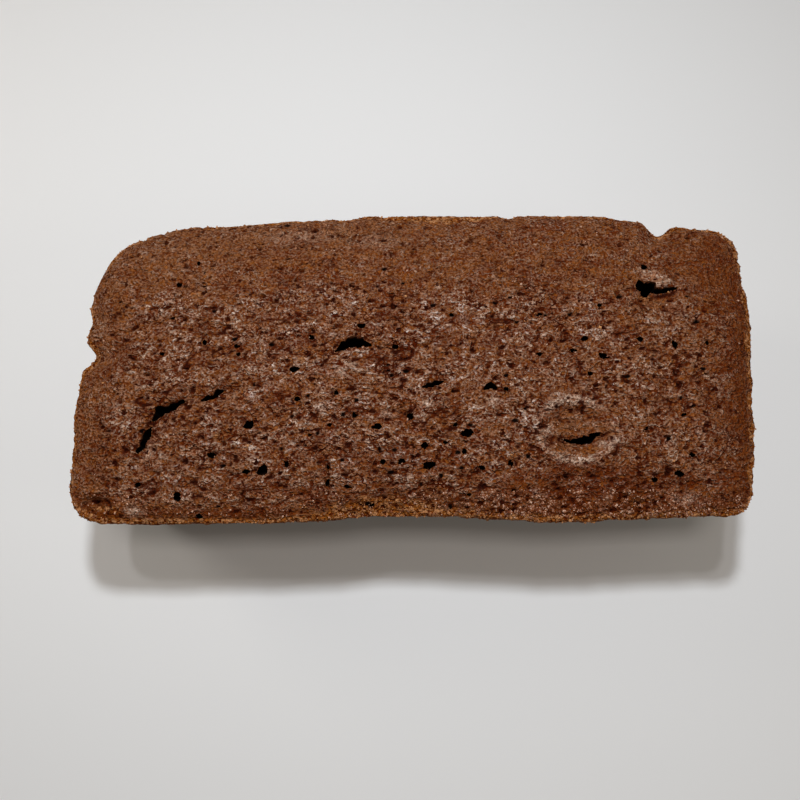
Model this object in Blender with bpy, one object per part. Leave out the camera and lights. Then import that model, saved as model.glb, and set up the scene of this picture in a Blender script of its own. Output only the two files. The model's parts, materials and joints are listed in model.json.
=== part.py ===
"""Chocolate loaf cake, turned out of its tin and lying on its base, crust side up.

The cake is one solid. Its crust is a low dome inside a rounded, slightly uneven
rim. Below the rim a thin lip of crust overhangs walls that draw in towards a flat
base. The crust has a shallow crater with a raised ring, a curved furrow, folds and
open holes. +X runs along the loaf, +Y to its far side and +Z up, and the origin is
on the table under the middle of the loaf.
"""

import math

import bmesh
import bpy
from mathutils import Matrix, Vector, noise
from mathutils.bvhtree import BVHTree

MM = 0.001

# Driving dimensions
RIM_HEIGHT = 41.0 * MM
LEFT_REACH = 83.5 * MM
RIGHT_REACH = 83.7 * MM
NEAR_REACH = 40.4 * MM
FAR_REACH = 40.5 * MM
CORNER_RADIUS = {
    ("left", "near"): 9.0 * MM,
    ("right", "near"): 8.5 * MM,
    ("left", "far"): 23.0 * MM,
    ("right", "far"): 6.5 * MM,
}
EDGE_RISE = 4.2 * MM
EDGE_RUN = 6.5 * MM
CROWN_RISE = 2.6 * MM

# The lip: drop below the rim, and how far it lies inside (+) or outside (-) the rim
LIP_PROFILE = (
    (1.2 * MM, -0.5 * MM),
    (2.9 * MM, 0.1 * MM),
    (3.9 * MM, 1.9 * MM),
)
# The walls down to the base: height above the table, and how far inside the rim
WALL_PROFILE = (
    (24.0 * MM, 3.2 * MM),
    (11.0 * MM, 4.3 * MM),
    (1.6 * MM, 5.1 * MM),
    (0.0, 6.5 * MM),
)

# Broad swells (+) and waists (-) of each side: place, reach and half its length
SIDE_SWELLS = {
    "near": ((-8.0 * MM, -2.0 * MM, 60.0 * MM), (68.0 * MM, -1.9 * MM, 40.0 * MM)),
    "far": ((-58.0 * MM, -3.1 * MM, 62.0 * MM), (82.0 * MM, -3.4 * MM, 36.0 * MM)),
    "left": ((-12.0 * MM, 1.5 * MM, 22.0 * MM),),
    "right": ((14.0 * MM, 1.3 * MM, 26.0 * MM), (-36.0 * MM, -2.4 * MM, 18.0 * MM)),
}
# Nicks in the crust's rim alone, which die out down the walls
RIM_NICKS = {
    "near": (),
    "far": (
        (-18.5 * MM, -0.8 * MM, 5.0 * MM),
        (24.0 * MM, -0.8 * MM, 3.5 * MM),
        (63.8 * MM, -3.4 * MM, 5.0 * MM),
    ),
    "left": ((1.6 * MM, -3.0 * MM, 4.5 * MM), (11.0 * MM, -0.9 * MM, 3.5 * MM)),
    "right": (),
}
NICK_DEPTH = 9.0 * MM
SWELL_FADE = 14.0 * MM

# Crust grid
CELLS_ALONG = 78
CELLS_ACROSS = 38

# Uneven baking: lumps, and folds that run along the loaf; the rim and the walls wander
LUMP_SPAN = 15.0 * MM
LUMP_HEIGHT = 0.75 * MM
FOLD_SPAN = (17.0 * MM, 5.5 * MM)
FOLD_HEIGHT = 0.55 * MM
RIM_WANDER_SPAN = 9.0 * MM
RIM_WANDER = 0.45 * MM
RIM_WAVE_SPAN = 21.0 * MM
RIM_WAVE = 0.9 * MM
WALL_LUMP_SPAN = 13.0 * MM
WALL_LUMP = 0.5 * MM
NOISE_ORIGIN = Vector((3.7, 1.9, 8.3))

# Crater at the front right
CRATER_CENTRE = Vector((37.8 * MM, -18.8 * MM))
CRATER_RING = (9.4 * MM, 7.6 * MM)
CRATER_DEPTH = 1.5 * MM
CRATER_RING_HEIGHT = 0.8 * MM
CRATER_RING_WIDTH = 0.24

# Dents and bumps: centre, half lengths along X and Y, height
DENTS = (
    (Vector((60.0 * MM, 14.5 * MM)), 9.0 * MM, 5.0 * MM, -1.0 * MM),
    (Vector((61.5 * MM, 21.5 * MM)), 5.5 * MM, 3.5 * MM, 0.9 * MM),
    (Vector((-16.0 * MM, 1.0 * MM)), 10.0 * MM, 5.0 * MM, -0.7 * MM),
    (Vector((-50.0 * MM, -19.0 * MM)), 13.0 * MM, 8.0 * MM, 0.7 * MM),
    (Vector((-79.5 * MM, -35.0 * MM)), 6.0 * MM, 4.0 * MM, -2.2 * MM),
    (Vector((64.0 * MM, 35.0 * MM)), 8.0 * MM, 6.0 * MM, -0.9 * MM),
    (Vector((-80.0 * MM, 1.5 * MM)), 9.0 * MM, 5.0 * MM, -1.2 * MM),
)

# Curved furrow at the left, which holds the long crack
FURROW = (
    Vector((-66.5 * MM, -26.5 * MM)),
    Vector((-64.8 * MM, -18.9 * MM)),
    Vector((-61.0 * MM, -12.6 * MM)),
    Vector((-53.0 * MM, -11.2 * MM)),
    Vector((-46.0 * MM, -8.8 * MM)),
)
FURROW_WIDTH = 3.6 * MM
FURROW_DEPTH = 1.1 * MM

# Torn openings in the crust: stations of X, Y and width along each
OPENINGS = {
    "crack_front": (
        (-67.1 * MM, -25.2 * MM, 1.0 * MM),
        (-65.8 * MM, -21.9 * MM, 1.7 * MM),
        (-64.6 * MM, -18.0 * MM, 1.5 * MM),
    ),
    "crack_back": (
        (-63.4 * MM, -16.2 * MM, 1.0 * MM),
        (-61.9 * MM, -13.2 * MM, 2.6 * MM),
        (-58.8 * MM, -12.4 * MM, 1.9 * MM),
        (-56.6 * MM, -11.7 * MM, 0.7 * MM),
    ),
    "crack_inner": (
        (-52.6 * MM, -11.5 * MM, 0.7 * MM),
        (-50.2 * MM, -10.5 * MM, 1.4 * MM),
        (-48.2 * MM, -9.6 * MM, 1.5 * MM),
    ),
    "hole_left": (
        (-20.2 * MM, 2.6 * MM, 0.8 * MM),
        (-16.6 * MM, 3.7 * MM, 3.0 * MM),
        (-12.0 * MM, 2.7 * MM, 0.9 * MM),
    ),
    "hole_right": (
        (55.6 * MM, 18.2 * MM, 2.0 * MM),
        (58.2 * MM, 18.3 * MM, 4.6 * MM),
        (61.6 * MM, 17.8 * MM, 2.4 * MM),
        (66.2 * MM, 19.0 * MM, 0.9 * MM),
    ),
    "crater_slit": (
        (34.3 * MM, -21.2 * MM, 0.8 * MM),
        (36.6 * MM, -22.0 * MM, 1.5 * MM),
        (39.4 * MM, -21.0 * MM, 2.9 * MM),
        (41.8 * MM, -19.9 * MM, 1.5 * MM),
        (44.4 * MM, -19.3 * MM, 1.1 * MM),
    ),
    "slit_middle": (
        (1.6 * MM, -8.2 * MM, 0.8 * MM),
        (4.1 * MM, -7.4 * MM, 1.5 * MM),
        (6.5 * MM, -6.6 * MM, 0.8 * MM),
    ),
    "slit_right": (
        (15.6 * MM, -8.1 * MM, 1.0 * MM),
        (17.6 * MM, -8.1 * MM, 1.6 * MM),
        (19.2 * MM, -8.3 * MM, 0.9 * MM),
    ),
}
OPENING_DEPTH = 5.5 * MM
OPENING_TAPER = 0.45

# Round holes: X, Y and how far they are across
ROUND_HOLES = (
    (-41.1 * MM, -17.7 * MM, 2.7 * MM),
    (-37.0 * MM, -28.7 * MM, 3.0 * MM),
    (-41.0 * MM, -29.4 * MM, 1.8 * MM),
    (-49.6 * MM, -25.1 * MM, 2.0 * MM),
    (-57.0 * MM, -35.1 * MM, 2.8 * MM),
    (-30.1 * MM, -3.5 * MM, 2.8 * MM),
    (-26.6 * MM, 4.6 * MM, 2.2 * MM),
    (-13.9 * MM, 7.6 * MM, 2.0 * MM),
    (-10.2 * MM, -18.2 * MM, 2.8 * MM),
    (1.1 * MM, -22.6 * MM, 2.0 * MM),
    (2.2 * MM, -27.5 * MM, 3.0 * MM),
    (11.9 * MM, -19.7 * MM, 3.0 * MM),
    (10.6 * MM, -24.1 * MM, 1.8 * MM),
    (41.0 * MM, -4.8 * MM, 2.6 * MM),
    (45.3 * MM, -0.1 * MM, 2.8 * MM),
    (41.4 * MM, 4.3 * MM, 2.4 * MM),
    (57.4 * MM, 24.1 * MM, 2.0 * MM),
    (61.3 * MM, -29.7 * MM, 2.8 * MM),
    (55.5 * MM, -31.1 * MM, 2.0 * MM),
    (65.1 * MM, -25.3 * MM, 2.2 * MM),
    (64.1 * MM, -15.2 * MM, 2.0 * MM),
    (63.9 * MM, 3.0 * MM, 2.2 * MM),
    (29.7 * MM, 0.1 * MM, 2.2 * MM),
)
HOLE_SIDES = 7
HOLE_DEPTH_RATIO = 1.3
HOLE_FLOOR_RATIO = 0.55
CUTTER_TOP = 3.0 * MM

CRUST_COLOUR = (0.127, 0.045, 0.019, 1.0)
CRUST_ROUGHNESS = 0.62
SMOOTH_ANGLE = math.radians(50.0)


def bell(distance, reach):
    """A smooth hump that is 1 in the middle and 0 from reach outwards."""
    if abs(distance) >= reach:
        return 0.0
    return math.cos(0.5 * math.pi * distance / reach) ** 2


def smooth_step(value):
    """0 below 0, 1 above 1 and a smooth rise between."""
    value = min(max(value, 0.0), 1.0)
    return value * value * (3.0 - 2.0 * value)


def wander(x, y, z, span):
    """Even noise between -1 and 1 whose lumps are about span across."""
    return noise.noise(Vector((x / span, y / span, z / span)) + NOISE_ORIGIN)


def rim_offset(side, place, nick_share):
    """How far the rim stands outside its plain rounded rectangle."""
    swells = sum(reach * bell(place - middle, half) for middle, reach, half in SIDE_SWELLS[side])
    nicks = sum(reach * bell(place - middle, half) for middle, reach, half in RIM_NICKS[side])
    return swells + nick_share * nicks


def plan_point(u, v, nick_share=1.0):
    """Put a point of the square -1..1 inside the rim's outline, with rounded corners."""
    side = "right" if u > 0.0 else "left"
    end = "far" if v > 0.0 else "near"
    reach_x = RIGHT_REACH if side == "right" else LEFT_REACH
    reach_y = FAR_REACH if end == "far" else NEAR_REACH
    radius = CORNER_RADIUS[side, end]
    x, y = abs(u) * reach_x, abs(v) * reach_y
    in_x, in_y = x - (reach_x - radius), y - (reach_y - radius)
    if in_x > 0.0 and in_y > 0.0:
        shrink = max(in_x, in_y) / math.hypot(in_x, in_y)
        x += in_x * (shrink - 1.0)
        y += in_y * (shrink - 1.0)
    near_side = smooth_step(1.0 - (reach_x - x) / SWELL_FADE)
    near_end = smooth_step(1.0 - (reach_y - y) / SWELL_FADE)
    x, y = math.copysign(x, u), math.copysign(y, v)
    ragged = RIM_WANDER * wander(x, y, 0.0, RIM_WANDER_SPAN)
    move_x = near_side * (rim_offset(side, y, nick_share) + ragged)
    move_y = near_end * (rim_offset(end, x, nick_share) + ragged)
    return x + move_x * math.copysign(1.0, u), y + move_y * math.copysign(1.0, v)


def furrow_distance(point):
    """Distance from a plan point to the furrow's line."""
    nearest = float("inf")
    for start, end in zip(FURROW, FURROW[1:]):
        along = (point - start).dot(end - start) / (end - start).length_squared
        foot = start.lerp(end, min(max(along, 0.0), 1.0))
        nearest = min(nearest, (point - foot).length)
    return nearest


def crater_height(point):
    """The crater's recessed floor and its raised ring."""
    across = point - CRATER_CENTRE
    radius = math.hypot(across.x / CRATER_RING[0], across.y / CRATER_RING[1])
    floor = -CRATER_DEPTH * bell(radius, 1.0)
    return floor + CRATER_RING_HEIGHT * bell(radius - 1.0, 2.0 * CRATER_RING_WIDTH)


def rim_height(x, y):
    """Height of the rim above the table, which waves a little round the loaf."""
    return RIM_HEIGHT + RIM_WAVE * wander(x, y, RIM_HEIGHT, RIM_WAVE_SPAN)


def crust_height(x, y, edge_distance):
    """Height of the crust above the table, a given distance inside the rim."""
    point = Vector((x, y))
    crown = max(0.0, 1.0 - (x / LEFT_REACH) ** 2) * max(0.0, 1.0 - (y / NEAR_REACH) ** 2)
    height = rim_height(x, y) + EDGE_RISE * (1.0 - math.exp(-edge_distance / EDGE_RUN))
    height += CROWN_RISE * crown
    inside = smooth_step(edge_distance / EDGE_RUN)
    fold = noise.noise(Vector((x / FOLD_SPAN[0], y / FOLD_SPAN[1], 0.0)) + NOISE_ORIGIN)
    height += inside * (LUMP_HEIGHT * wander(x, y, 0.0, LUMP_SPAN) + FOLD_HEIGHT * fold)
    height -= FURROW_DEPTH * bell(furrow_distance(point), FURROW_WIDTH)
    height += crater_height(point)
    for middle, half_x, half_y, rise in DENTS:
        across = point - middle
        height += rise * bell(math.hypot(across.x / half_x, across.y / half_y), 1.0)
    return height


def make_crust(bm):
    """The crust: a grid pressed into the rim's outline and raised to a dome.

    Returns each rim vertex with its place on the square.
    """
    bmesh.ops.create_grid(bm, x_segments=CELLS_ALONG, y_segments=CELLS_ACROSS, size=1.0)
    rim = {vert: (vert.co.x, vert.co.y) for vert in bm.verts if vert.is_boundary}
    for vert in bm.verts:
        vert.co.x, vert.co.y = plan_point(vert.co.x, vert.co.y)
    rim_line = [vert.co.copy() for vert in rim]
    for vert in bm.verts:
        edge_distance = min((vert.co - point).length for point in rim_line)
        vert.co.z = crust_height(vert.co.x, vert.co.y, edge_distance)
    return rim


def add_ring(bm, rim, edges, inset, ring_height):
    """Extrude the open edge down into a ring, and return its vertices and edges."""
    made = bmesh.ops.extrude_edge_only(bm, edges=edges)["geom"]
    ring = {}
    for vert in (item for item in made if isinstance(item, bmesh.types.BMVert)):
        neighbours = (edge.other_vert(vert) for edge in vert.link_edges)
        ring[vert] = rim[next(upper for upper in neighbours if upper in rim)]
    for vert, (u, v) in ring.items():
        x, y = plan_point(u, v)
        height = ring_height(x, y)
        x, y = plan_point(u, v, max(0.0, 1.0 - (RIM_HEIGHT - height) / NICK_DEPTH))
        draw_in = inset + WALL_LUMP * wander(x, y, height, WALL_LUMP_SPAN)
        vert.co = (x * (1.0 - draw_in / LEFT_REACH), y * (1.0 - draw_in / NEAR_REACH), height)
    lower_edges = [item for item in made if isinstance(item, bmesh.types.BMEdge) and item.is_boundary]
    return ring, lower_edges


def make_walls(bm, rim):
    """The lip, the walls that draw in below it, and the flat base."""
    edges = [edge for edge in bm.edges if edge.is_boundary]
    for drop, inset in LIP_PROFILE:
        rim, edges = add_ring(bm, rim, edges, inset, lambda x, y: rim_height(x, y) - drop)
    for level, inset in WALL_PROFILE:
        rim, edges = add_ring(bm, rim, edges, inset, lambda x, y: level)
    bmesh.ops.holes_fill(bm, edges=edges, sides=0)
    bmesh.ops.recalc_face_normals(bm, faces=bm.faces)


def centre_on_origin(bm):
    """Slide the loaf so that its outline is centred over the origin."""
    for axis in range(2):
        reach = [vert.co[axis] for vert in bm.verts]
        slide = Vector((0.0, 0.0, 0.0))
        slide[axis] = -0.5 * (min(reach) + max(reach))
        bmesh.ops.translate(bm, vec=slide, verts=bm.verts)


def link_object(name, bm):
    """Turn a bmesh into an object of the scene."""
    mesh = bpy.data.meshes.new(name)
    bm.to_mesh(mesh)
    bm.free()
    item = bpy.data.objects.new(name, mesh)
    bpy.context.scene.collection.objects.link(item)
    return item


def height_above(surface, x, y):
    """Height of the crust over a plan point."""
    hit = surface.ray_cast(Vector((x, y, 2.0 * RIM_HEIGHT)), Vector((0.0, 0.0, -1.0)))
    return hit[0].z


def make_opening(name, stations, surface):
    """A torn opening's cutter: a block bent along its stations, narrower below."""
    bm = bmesh.new()
    bmesh.ops.create_cube(bm, size=1.0)
    long_edges = [
        edge for edge in bm.edges
        if abs(edge.verts[0].co.x - edge.verts[1].co.x) > 0.5
    ]
    last = len(stations) - 1
    bmesh.ops.subdivide_edges(bm, edges=long_edges, cuts=last - 1, use_grid_fill=True)
    points = [Vector((x, y, 0.0)) for x, y, width in stations]
    for vert in bm.verts:
        index = round((vert.co.x + 0.5) * last)
        run = points[min(index + 1, last)] - points[max(index - 1, 0)]
        sideways = Vector((-run.y, run.x, 0.0)).normalized()
        half_width = math.copysign(0.5 * stations[index][2], vert.co.y)
        crust = height_above(surface, points[index].x, points[index].y)
        is_top = vert.co.z > 0.0
        reach = half_width if is_top else half_width * OPENING_TAPER
        vert.co = points[index] + sideways * reach
        vert.co.z = crust + (CUTTER_TOP if is_top else -OPENING_DEPTH)
    bmesh.ops.recalc_face_normals(bm, faces=bm.faces)
    return link_object(name, bm)


def make_hole(name, x, y, across, surface):
    """A round hole's cutter: a cone that narrows to the hole's floor."""
    depth = across * HOLE_DEPTH_RATIO
    length = depth + CUTTER_TOP
    top_radius = 0.5 * across * (1.0 + CUTTER_TOP / depth * (1.0 - HOLE_FLOOR_RATIO))
    middle = height_above(surface, x, y) + 0.5 * (CUTTER_TOP - depth)
    bm = bmesh.new()
    bmesh.ops.create_cone(
        bm,
        cap_ends=True,
        segments=HOLE_SIDES,
        radius1=0.5 * across * HOLE_FLOOR_RATIO,
        radius2=top_radius,
        depth=length,
        matrix=Matrix.Translation((x, y, middle)),
    )
    return link_object(name, bm)


def cut_holes(cake, cutters):
    """Cut all openings out of the cake and remove their cutters."""
    collection = bpy.data.collections.new("cutters")
    for cutter in cutters:
        collection.objects.link(cutter)
    cut = cake.modifiers.new("holes", "BOOLEAN")
    cut.operation = "DIFFERENCE"
    cut.solver = "EXACT"
    cut.operand_type = "COLLECTION"
    cut.collection = collection
    with bpy.context.temp_override(object=cake, active_object=cake):
        bpy.ops.object.modifier_apply(modifier=cut.name)
    for cutter in cutters:
        bpy.data.objects.remove(cutter, do_unlink=True)
    bpy.data.collections.remove(collection)


def make_cake():
    """The whole loaf, with its openings and holes cut."""
    bm = bmesh.new()
    rim = make_crust(bm)
    make_walls(bm, rim)
    centre_on_origin(bm)
    surface = BVHTree.FromBMesh(bm)
    cake = link_object("chocolate_cake", bm)
    cutters = [make_opening(name, stations, surface) for name, stations in OPENINGS.items()]
    for number, (x, y, across) in enumerate(ROUND_HOLES, 1):
        cutters.append(make_hole(f"hole_{number}", x, y, across, surface))
    cut_holes(cake, cutters)
    cake.data.shade_smooth()
    cake.data.set_sharp_from_angle(angle=SMOOTH_ANGLE)
    return cake


def make_crust_material():
    """Baked chocolate crust: a matte mid brown."""
    material = bpy.data.materials.new("chocolate_crust")
    material.use_nodes = True
    shader = material.node_tree.nodes["Principled BSDF"]
    shader.inputs["Base Color"].default_value = CRUST_COLOUR
    shader.inputs["Roughness"].default_value = CRUST_ROUGHNESS
    shader.inputs["Metallic"].default_value = 0.0
    return material


def main():
    """Clear the scene and model the cake."""
    for item in list(bpy.data.objects):
        bpy.data.objects.remove(item, do_unlink=True)
    cake = make_cake()
    cake.data.materials.append(make_crust_material())


main()
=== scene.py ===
"""Looks of the chocolate loaf cake.

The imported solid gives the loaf's place, size and form. This script models the same
loaf again with the fine surface of a baked crust: folds, grains, pits, torn holes
with hollows under them, a ragged golden rim and loose crumbs. It adds the finishes,
a plain pale floor, soft studio light and the camera. Lengths are in metres, apart
from values and rows whose name says mm.
"""

import json
import logging
import math
import random
from dataclasses import dataclass, field
from enum import Enum
from typing import Callable, Iterable

import bmesh
import bpy
import numpy as np
from mathutils import Matrix, Vector, noise
from mathutils.bvhtree import BVHTree
from mathutils.kdtree import KDTree

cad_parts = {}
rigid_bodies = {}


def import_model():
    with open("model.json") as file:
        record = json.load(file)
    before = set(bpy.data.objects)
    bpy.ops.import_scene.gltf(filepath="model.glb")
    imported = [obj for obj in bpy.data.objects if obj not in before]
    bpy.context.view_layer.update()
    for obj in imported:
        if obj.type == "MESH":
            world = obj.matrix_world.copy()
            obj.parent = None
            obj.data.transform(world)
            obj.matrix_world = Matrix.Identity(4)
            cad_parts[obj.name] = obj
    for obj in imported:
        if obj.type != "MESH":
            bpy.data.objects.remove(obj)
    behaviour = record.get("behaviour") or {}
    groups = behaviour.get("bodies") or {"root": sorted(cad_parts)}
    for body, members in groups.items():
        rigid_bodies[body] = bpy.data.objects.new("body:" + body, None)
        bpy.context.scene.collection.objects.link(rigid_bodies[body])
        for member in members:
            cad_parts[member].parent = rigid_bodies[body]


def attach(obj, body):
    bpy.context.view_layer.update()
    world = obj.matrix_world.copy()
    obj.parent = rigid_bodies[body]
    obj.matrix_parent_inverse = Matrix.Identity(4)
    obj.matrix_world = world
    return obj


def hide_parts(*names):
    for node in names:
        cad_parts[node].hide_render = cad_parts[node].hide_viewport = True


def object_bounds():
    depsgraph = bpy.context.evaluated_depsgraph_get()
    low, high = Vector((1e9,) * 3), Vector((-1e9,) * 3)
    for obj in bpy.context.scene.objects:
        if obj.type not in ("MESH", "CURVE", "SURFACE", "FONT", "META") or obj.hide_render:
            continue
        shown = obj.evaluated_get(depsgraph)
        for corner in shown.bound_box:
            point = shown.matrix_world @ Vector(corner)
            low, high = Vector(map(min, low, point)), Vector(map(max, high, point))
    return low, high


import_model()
CAD_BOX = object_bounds()

LOG = logging.getLogger("chocolate_loaf")
MM = 0.001
NODE = "chocolate_cake"
BODY = "root"

Colour = tuple[float, float, float, float]
BMesh = bmesh.types.BMesh


class Trait(str, Enum):
    """What varies over the loaf's surface, kept as one value for each vertex."""

    # Several of these also place painted light in the crust's colour: painted shade in holes (deep), creases
    # and pits (crease) and on the darker margins (baked), and painted highlights on knob tops (crest), in
    # the glossy middle (sheen) and in glints (glint).
    DEEP = "deep"
    CREASE = "crease"
    CREST = "crest"
    GOLD = "gold"
    PALE = "pale"
    GLINT = "glint"
    BAKED_AND_SHADE = "baked"
    FADED = "faded"
    SHEEN = "sheen"
    EVEN = "even"
    SIDE = "side"


def mm_tuple(*rows: tuple[float, ...]) -> tuple[tuple[float, ...], ...]:
    """Rows of millimetres as rows of metres."""
    return tuple(tuple(value * MM for value in row) for row in rows)


@dataclass(frozen=True)
class Swell:
    """A swell (+) or nick (-) of one side of the rim."""

    place: float
    reach: float
    half: float

    def at(self, place: float) -> float:
        """Reach of the swell at a place along its side."""
        return self.reach * bell(place - self.place, self.half)


@dataclass(frozen=True)
class Patch:
    """A soft-edged oval patch of the crust: a rise of it, or how strongly a look shows in it."""

    x: float
    y: float
    half_x: float
    half_y: float
    amount: float

    def at(self, x: float, y: float) -> float:
        """Amount at a plan point."""
        across = math.hypot((x - self.x) / self.half_x, (y - self.y) / self.half_y)
        return self.amount * bell(across, 1.0)


def swells_mm(*rows: tuple[float, float, float]) -> tuple[Swell, ...]:
    """Swells from rows of place, reach and half length in millimetres."""
    return tuple(Swell(*row) for row in mm_tuple(*rows))


def patches_mm(*rows: tuple[float, float, float, float, float]) -> tuple[Patch, ...]:
    """Patches from rows of X, Y and half sizes in millimetres, and an amount."""
    return tuple(Patch(*(value * MM for value in row[:4]), row[4]) for row in rows)


@dataclass(frozen=True)
class Hole:
    """A round hole in the crust: its middle, how far it is across, and its stretch along X."""

    x: float
    y: float
    across: float
    stretch: float = 1.0


def holes_mm(*rows: tuple[float, float, float, float]) -> tuple[Hole, ...]:
    """Holes from rows of X, Y and size across in millimetres, and a stretch."""
    return tuple(Hole(x * MM, y * MM, across * MM, stretch) for x, y, across, stretch in rows)


@dataclass(frozen=True)
class Opening:
    """A torn opening: stations of X, Y and width, and its depth."""

    stations: tuple[tuple[float, float, float], ...]
    depth: float


@dataclass(frozen=True)
class Groove:
    """A thin pressed-in line of the crust: its points, width, depth and how much painted shade lies in it.
    """

    points: tuple[tuple[float, float], ...]
    width: float
    depth: float
    shade: float = 0.35

    def walk(self, step: float) -> Iterable[tuple[float, float]]:
        """Plan points along the groove, a step apart."""
        for start, end in zip(self.points, self.points[1:]):
            count = max(1, round(math.dist(start, end) / step))
            for index in range(count):
                share = index / count
                yield start[0] + (end[0] - start[0]) * share, start[1] + (end[1] - start[1]) * share
        yield self.points[-1]


def bell(distance: float, reach: float) -> float:
    """A smooth hump.

    Args:
        distance: Distance from the hump's middle.
        reach: Distance from which the hump is 0.

    Returns:
        1 in the middle, falling to 0 at reach.
    """
    if abs(distance) >= reach:
        return 0.0
    return math.cos(0.5 * math.pi * distance / reach) ** 2


def smooth_step(value: float) -> float:
    """0 below 0, 1 above 1 and a smooth rise between."""
    value = min(max(value, 0.0), 1.0)
    return value * value * (3.0 - 2.0 * value)


def rise(value: float, start: float, run: float) -> float:
    """0 up to start, 1 from a run further on and smooth between; a run below 0 goes the other way."""
    return smooth_step((value - start) / run)


def plan_noise(x: float, y: float, layer: float, along: float, across: float | None = None) -> float:
    """Even noise between -1 and 1 over the plan.

    Args:
        x: Place along the loaf.
        y: Place across the loaf.
        layer: The noise's layer, a number of its own for each pattern.
        along: Size of the lumps along the loaf.
        across: Their size across the loaf, where it differs.

    Returns:
        The noise's value at the place.
    """
    return noise.noise(Vector((x / along, y / (across or along), layer)))


@dataclass(frozen=True)
class LoafForm:
    """The loaf's form, as its solid has it: outline, rim, dome, dents and furrow."""

    rim: float = 41.0 * MM
    left: float = 84.4 * MM
    right: float = 83.7 * MM
    near: float = 40.65 * MM
    far: float = 41.3 * MM
    slide: tuple[float, float] = (0.17 * MM, -0.26 * MM)
    edge_rise: float = 4.2 * MM
    edge_run: float = 6.5 * MM
    crown_rise: float = 2.6 * MM
    swell_fade: float = 14.0 * MM
    nick_depth: float = 9.0 * MM
    noise_origin: Vector = field(default_factory=lambda: Vector((3.7, 1.9, 8.3)))
    corner: dict[tuple[str, str], float] = field(default_factory=lambda: {
        ("left", "near"): 9.0 * MM,
        ("right", "near"): 8.5 * MM,
        ("left", "far"): 28.0 * MM,
        ("right", "far"): 6.5 * MM,
    })
    swells: dict[str, tuple[Swell, ...]] = field(default_factory=lambda: {
        "near": swells_mm((0.0, -1.9, 50.0), (68.0, -1.9, 40.0)),
        "far": swells_mm((-62.0, -3.4, 60.0), (82.0, -4.0, 44.0)),
        "left": swells_mm((-12.0, 0.8, 30.0)),
        "right": swells_mm((14.0, 1.8, 30.0), (-36.0, -2.6, 24.0)),
    })
    nicks: dict[str, tuple[Swell, ...]] = field(default_factory=lambda: {
        "near": (),
        "far": swells_mm((-18.5, -0.8, 5.0), (24.0, -0.8, 3.5), (63.8, -3.4, 5.0)),
        "left": swells_mm((1.6, -3.0, 4.5), (11.0, -0.9, 3.5)),
        "right": (),
    })
    dents: tuple[Patch, ...] = tuple(Patch(*row) for row in mm_tuple(
        (60.0, 14.5, 9.0, 5.0, -1.0), (61.5, 21.5, 5.5, 3.5, 0.9), (-16.0, 1.0, 10.0, 5.0, -0.7),
        (-50.0, -19.0, 13.0, 8.0, 0.7), (-77.8, -36.0, 5.5, 3.4, -1.8), (64.0, 35.0, 8.0, 6.0, -0.9),
        (-80.0, 1.5, 9.0, 5.0, -1.2),
    ))
    furrow: tuple[tuple[float, float], ...] = mm_tuple(
        (-66.5, -26.5), (-64.8, -18.9), (-61.0, -12.6), (-53.0, -11.2), (-46.0, -8.8)
    )
    furrow_width: float = 3.6 * MM
    furrow_depth: float = 1.1 * MM
    crater: tuple[float, float] = (37.8 * MM, -18.8 * MM)
    crater_ring: tuple[float, float] = (9.4 * MM, 7.6 * MM)
    crater_depth: float = 1.5 * MM
    crater_lift: float = 1.0 * MM
    crater_lift_width: float = 0.48
    torn_rim: Swell = Swell(-7.0 * MM, -1.9 * MM, 17.0 * MM)

    def wander(self, x: float, y: float, z: float, span: float) -> float:
        """Even noise between -1 and 1 whose lumps are about span across."""
        return noise.noise(Vector((x / span, y / span, z / span)) + self.noise_origin)

    def plan_point(self, u: float, v: float, nick_share: float, ragged: float) -> tuple[float, float]:
        """Put a point of the square -1..1 inside the rim's outline.

        Args:
            u: Place along the loaf, -1 to 1.
            v: Place across the loaf, -1 to 1.
            nick_share: How much of the rim's nicks shows, 0 to 1.
            ragged: How far the rim's torn edge lies outside its plain line here.

        Returns:
            X and Y.
        """
        side = "right" if u > 0.0 else "left"
        end = "far" if v > 0.0 else "near"
        reach_x = self.right if side == "right" else self.left
        reach_y = self.far if end == "far" else self.near
        radius = self.corner[side, end]
        x, y = abs(u) * reach_x, abs(v) * reach_y
        in_x, in_y = x - (reach_x - radius), y - (reach_y - radius)
        if in_x > 0.0 and in_y > 0.0:
            shrink = max(in_x, in_y) / math.hypot(in_x, in_y)
            x += in_x * (shrink - 1.0)
            y += in_y * (shrink - 1.0)
        near_side = smooth_step(1.0 - (reach_x - x) / self.swell_fade)
        near_end = smooth_step(1.0 - (reach_y - y) / self.swell_fade)
        edge_side = smooth_step(1.0 - (reach_x - x) / RaggedRim.fade)
        edge_end = smooth_step(1.0 - (reach_y - y) / RaggedRim.fade)
        x, y = math.copysign(x, u), math.copysign(y, v)
        soft = 0.45 * MM * self.wander(x, y, 0.0, 9.0 * MM)
        move_x = near_side * (self.rim_offset(side, y, nick_share) + soft) + edge_side * ragged
        move_y = near_end * (self.rim_offset(end, x, nick_share) + soft) + edge_end * ragged
        return x + move_x * math.copysign(1.0, u), y + move_y * math.copysign(1.0, v)

    def rim_offset(self, side: str, place: float, nick_share: float) -> float:
        """How far the rim stands outside its plain rounded rectangle."""
        swells = sum(swell.at(place) for swell in self.swells[side])
        return swells + nick_share * sum(nick.at(place) for nick in self.nicks[side])

    def furrow_distance(self, x: float, y: float) -> float:
        """Distance from a plan point to the furrow's line."""
        point = Vector((x, y))
        nearest = float("inf")
        for start, end in zip(self.furrow, self.furrow[1:]):
            start, end = Vector(start), Vector(end)
            along = (point - start).dot(end - start) / (end - start).length_squared
            foot = start.lerp(end, min(max(along, 0.0), 1.0))
            nearest = min(nearest, (point - foot).length)
        return nearest

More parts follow.
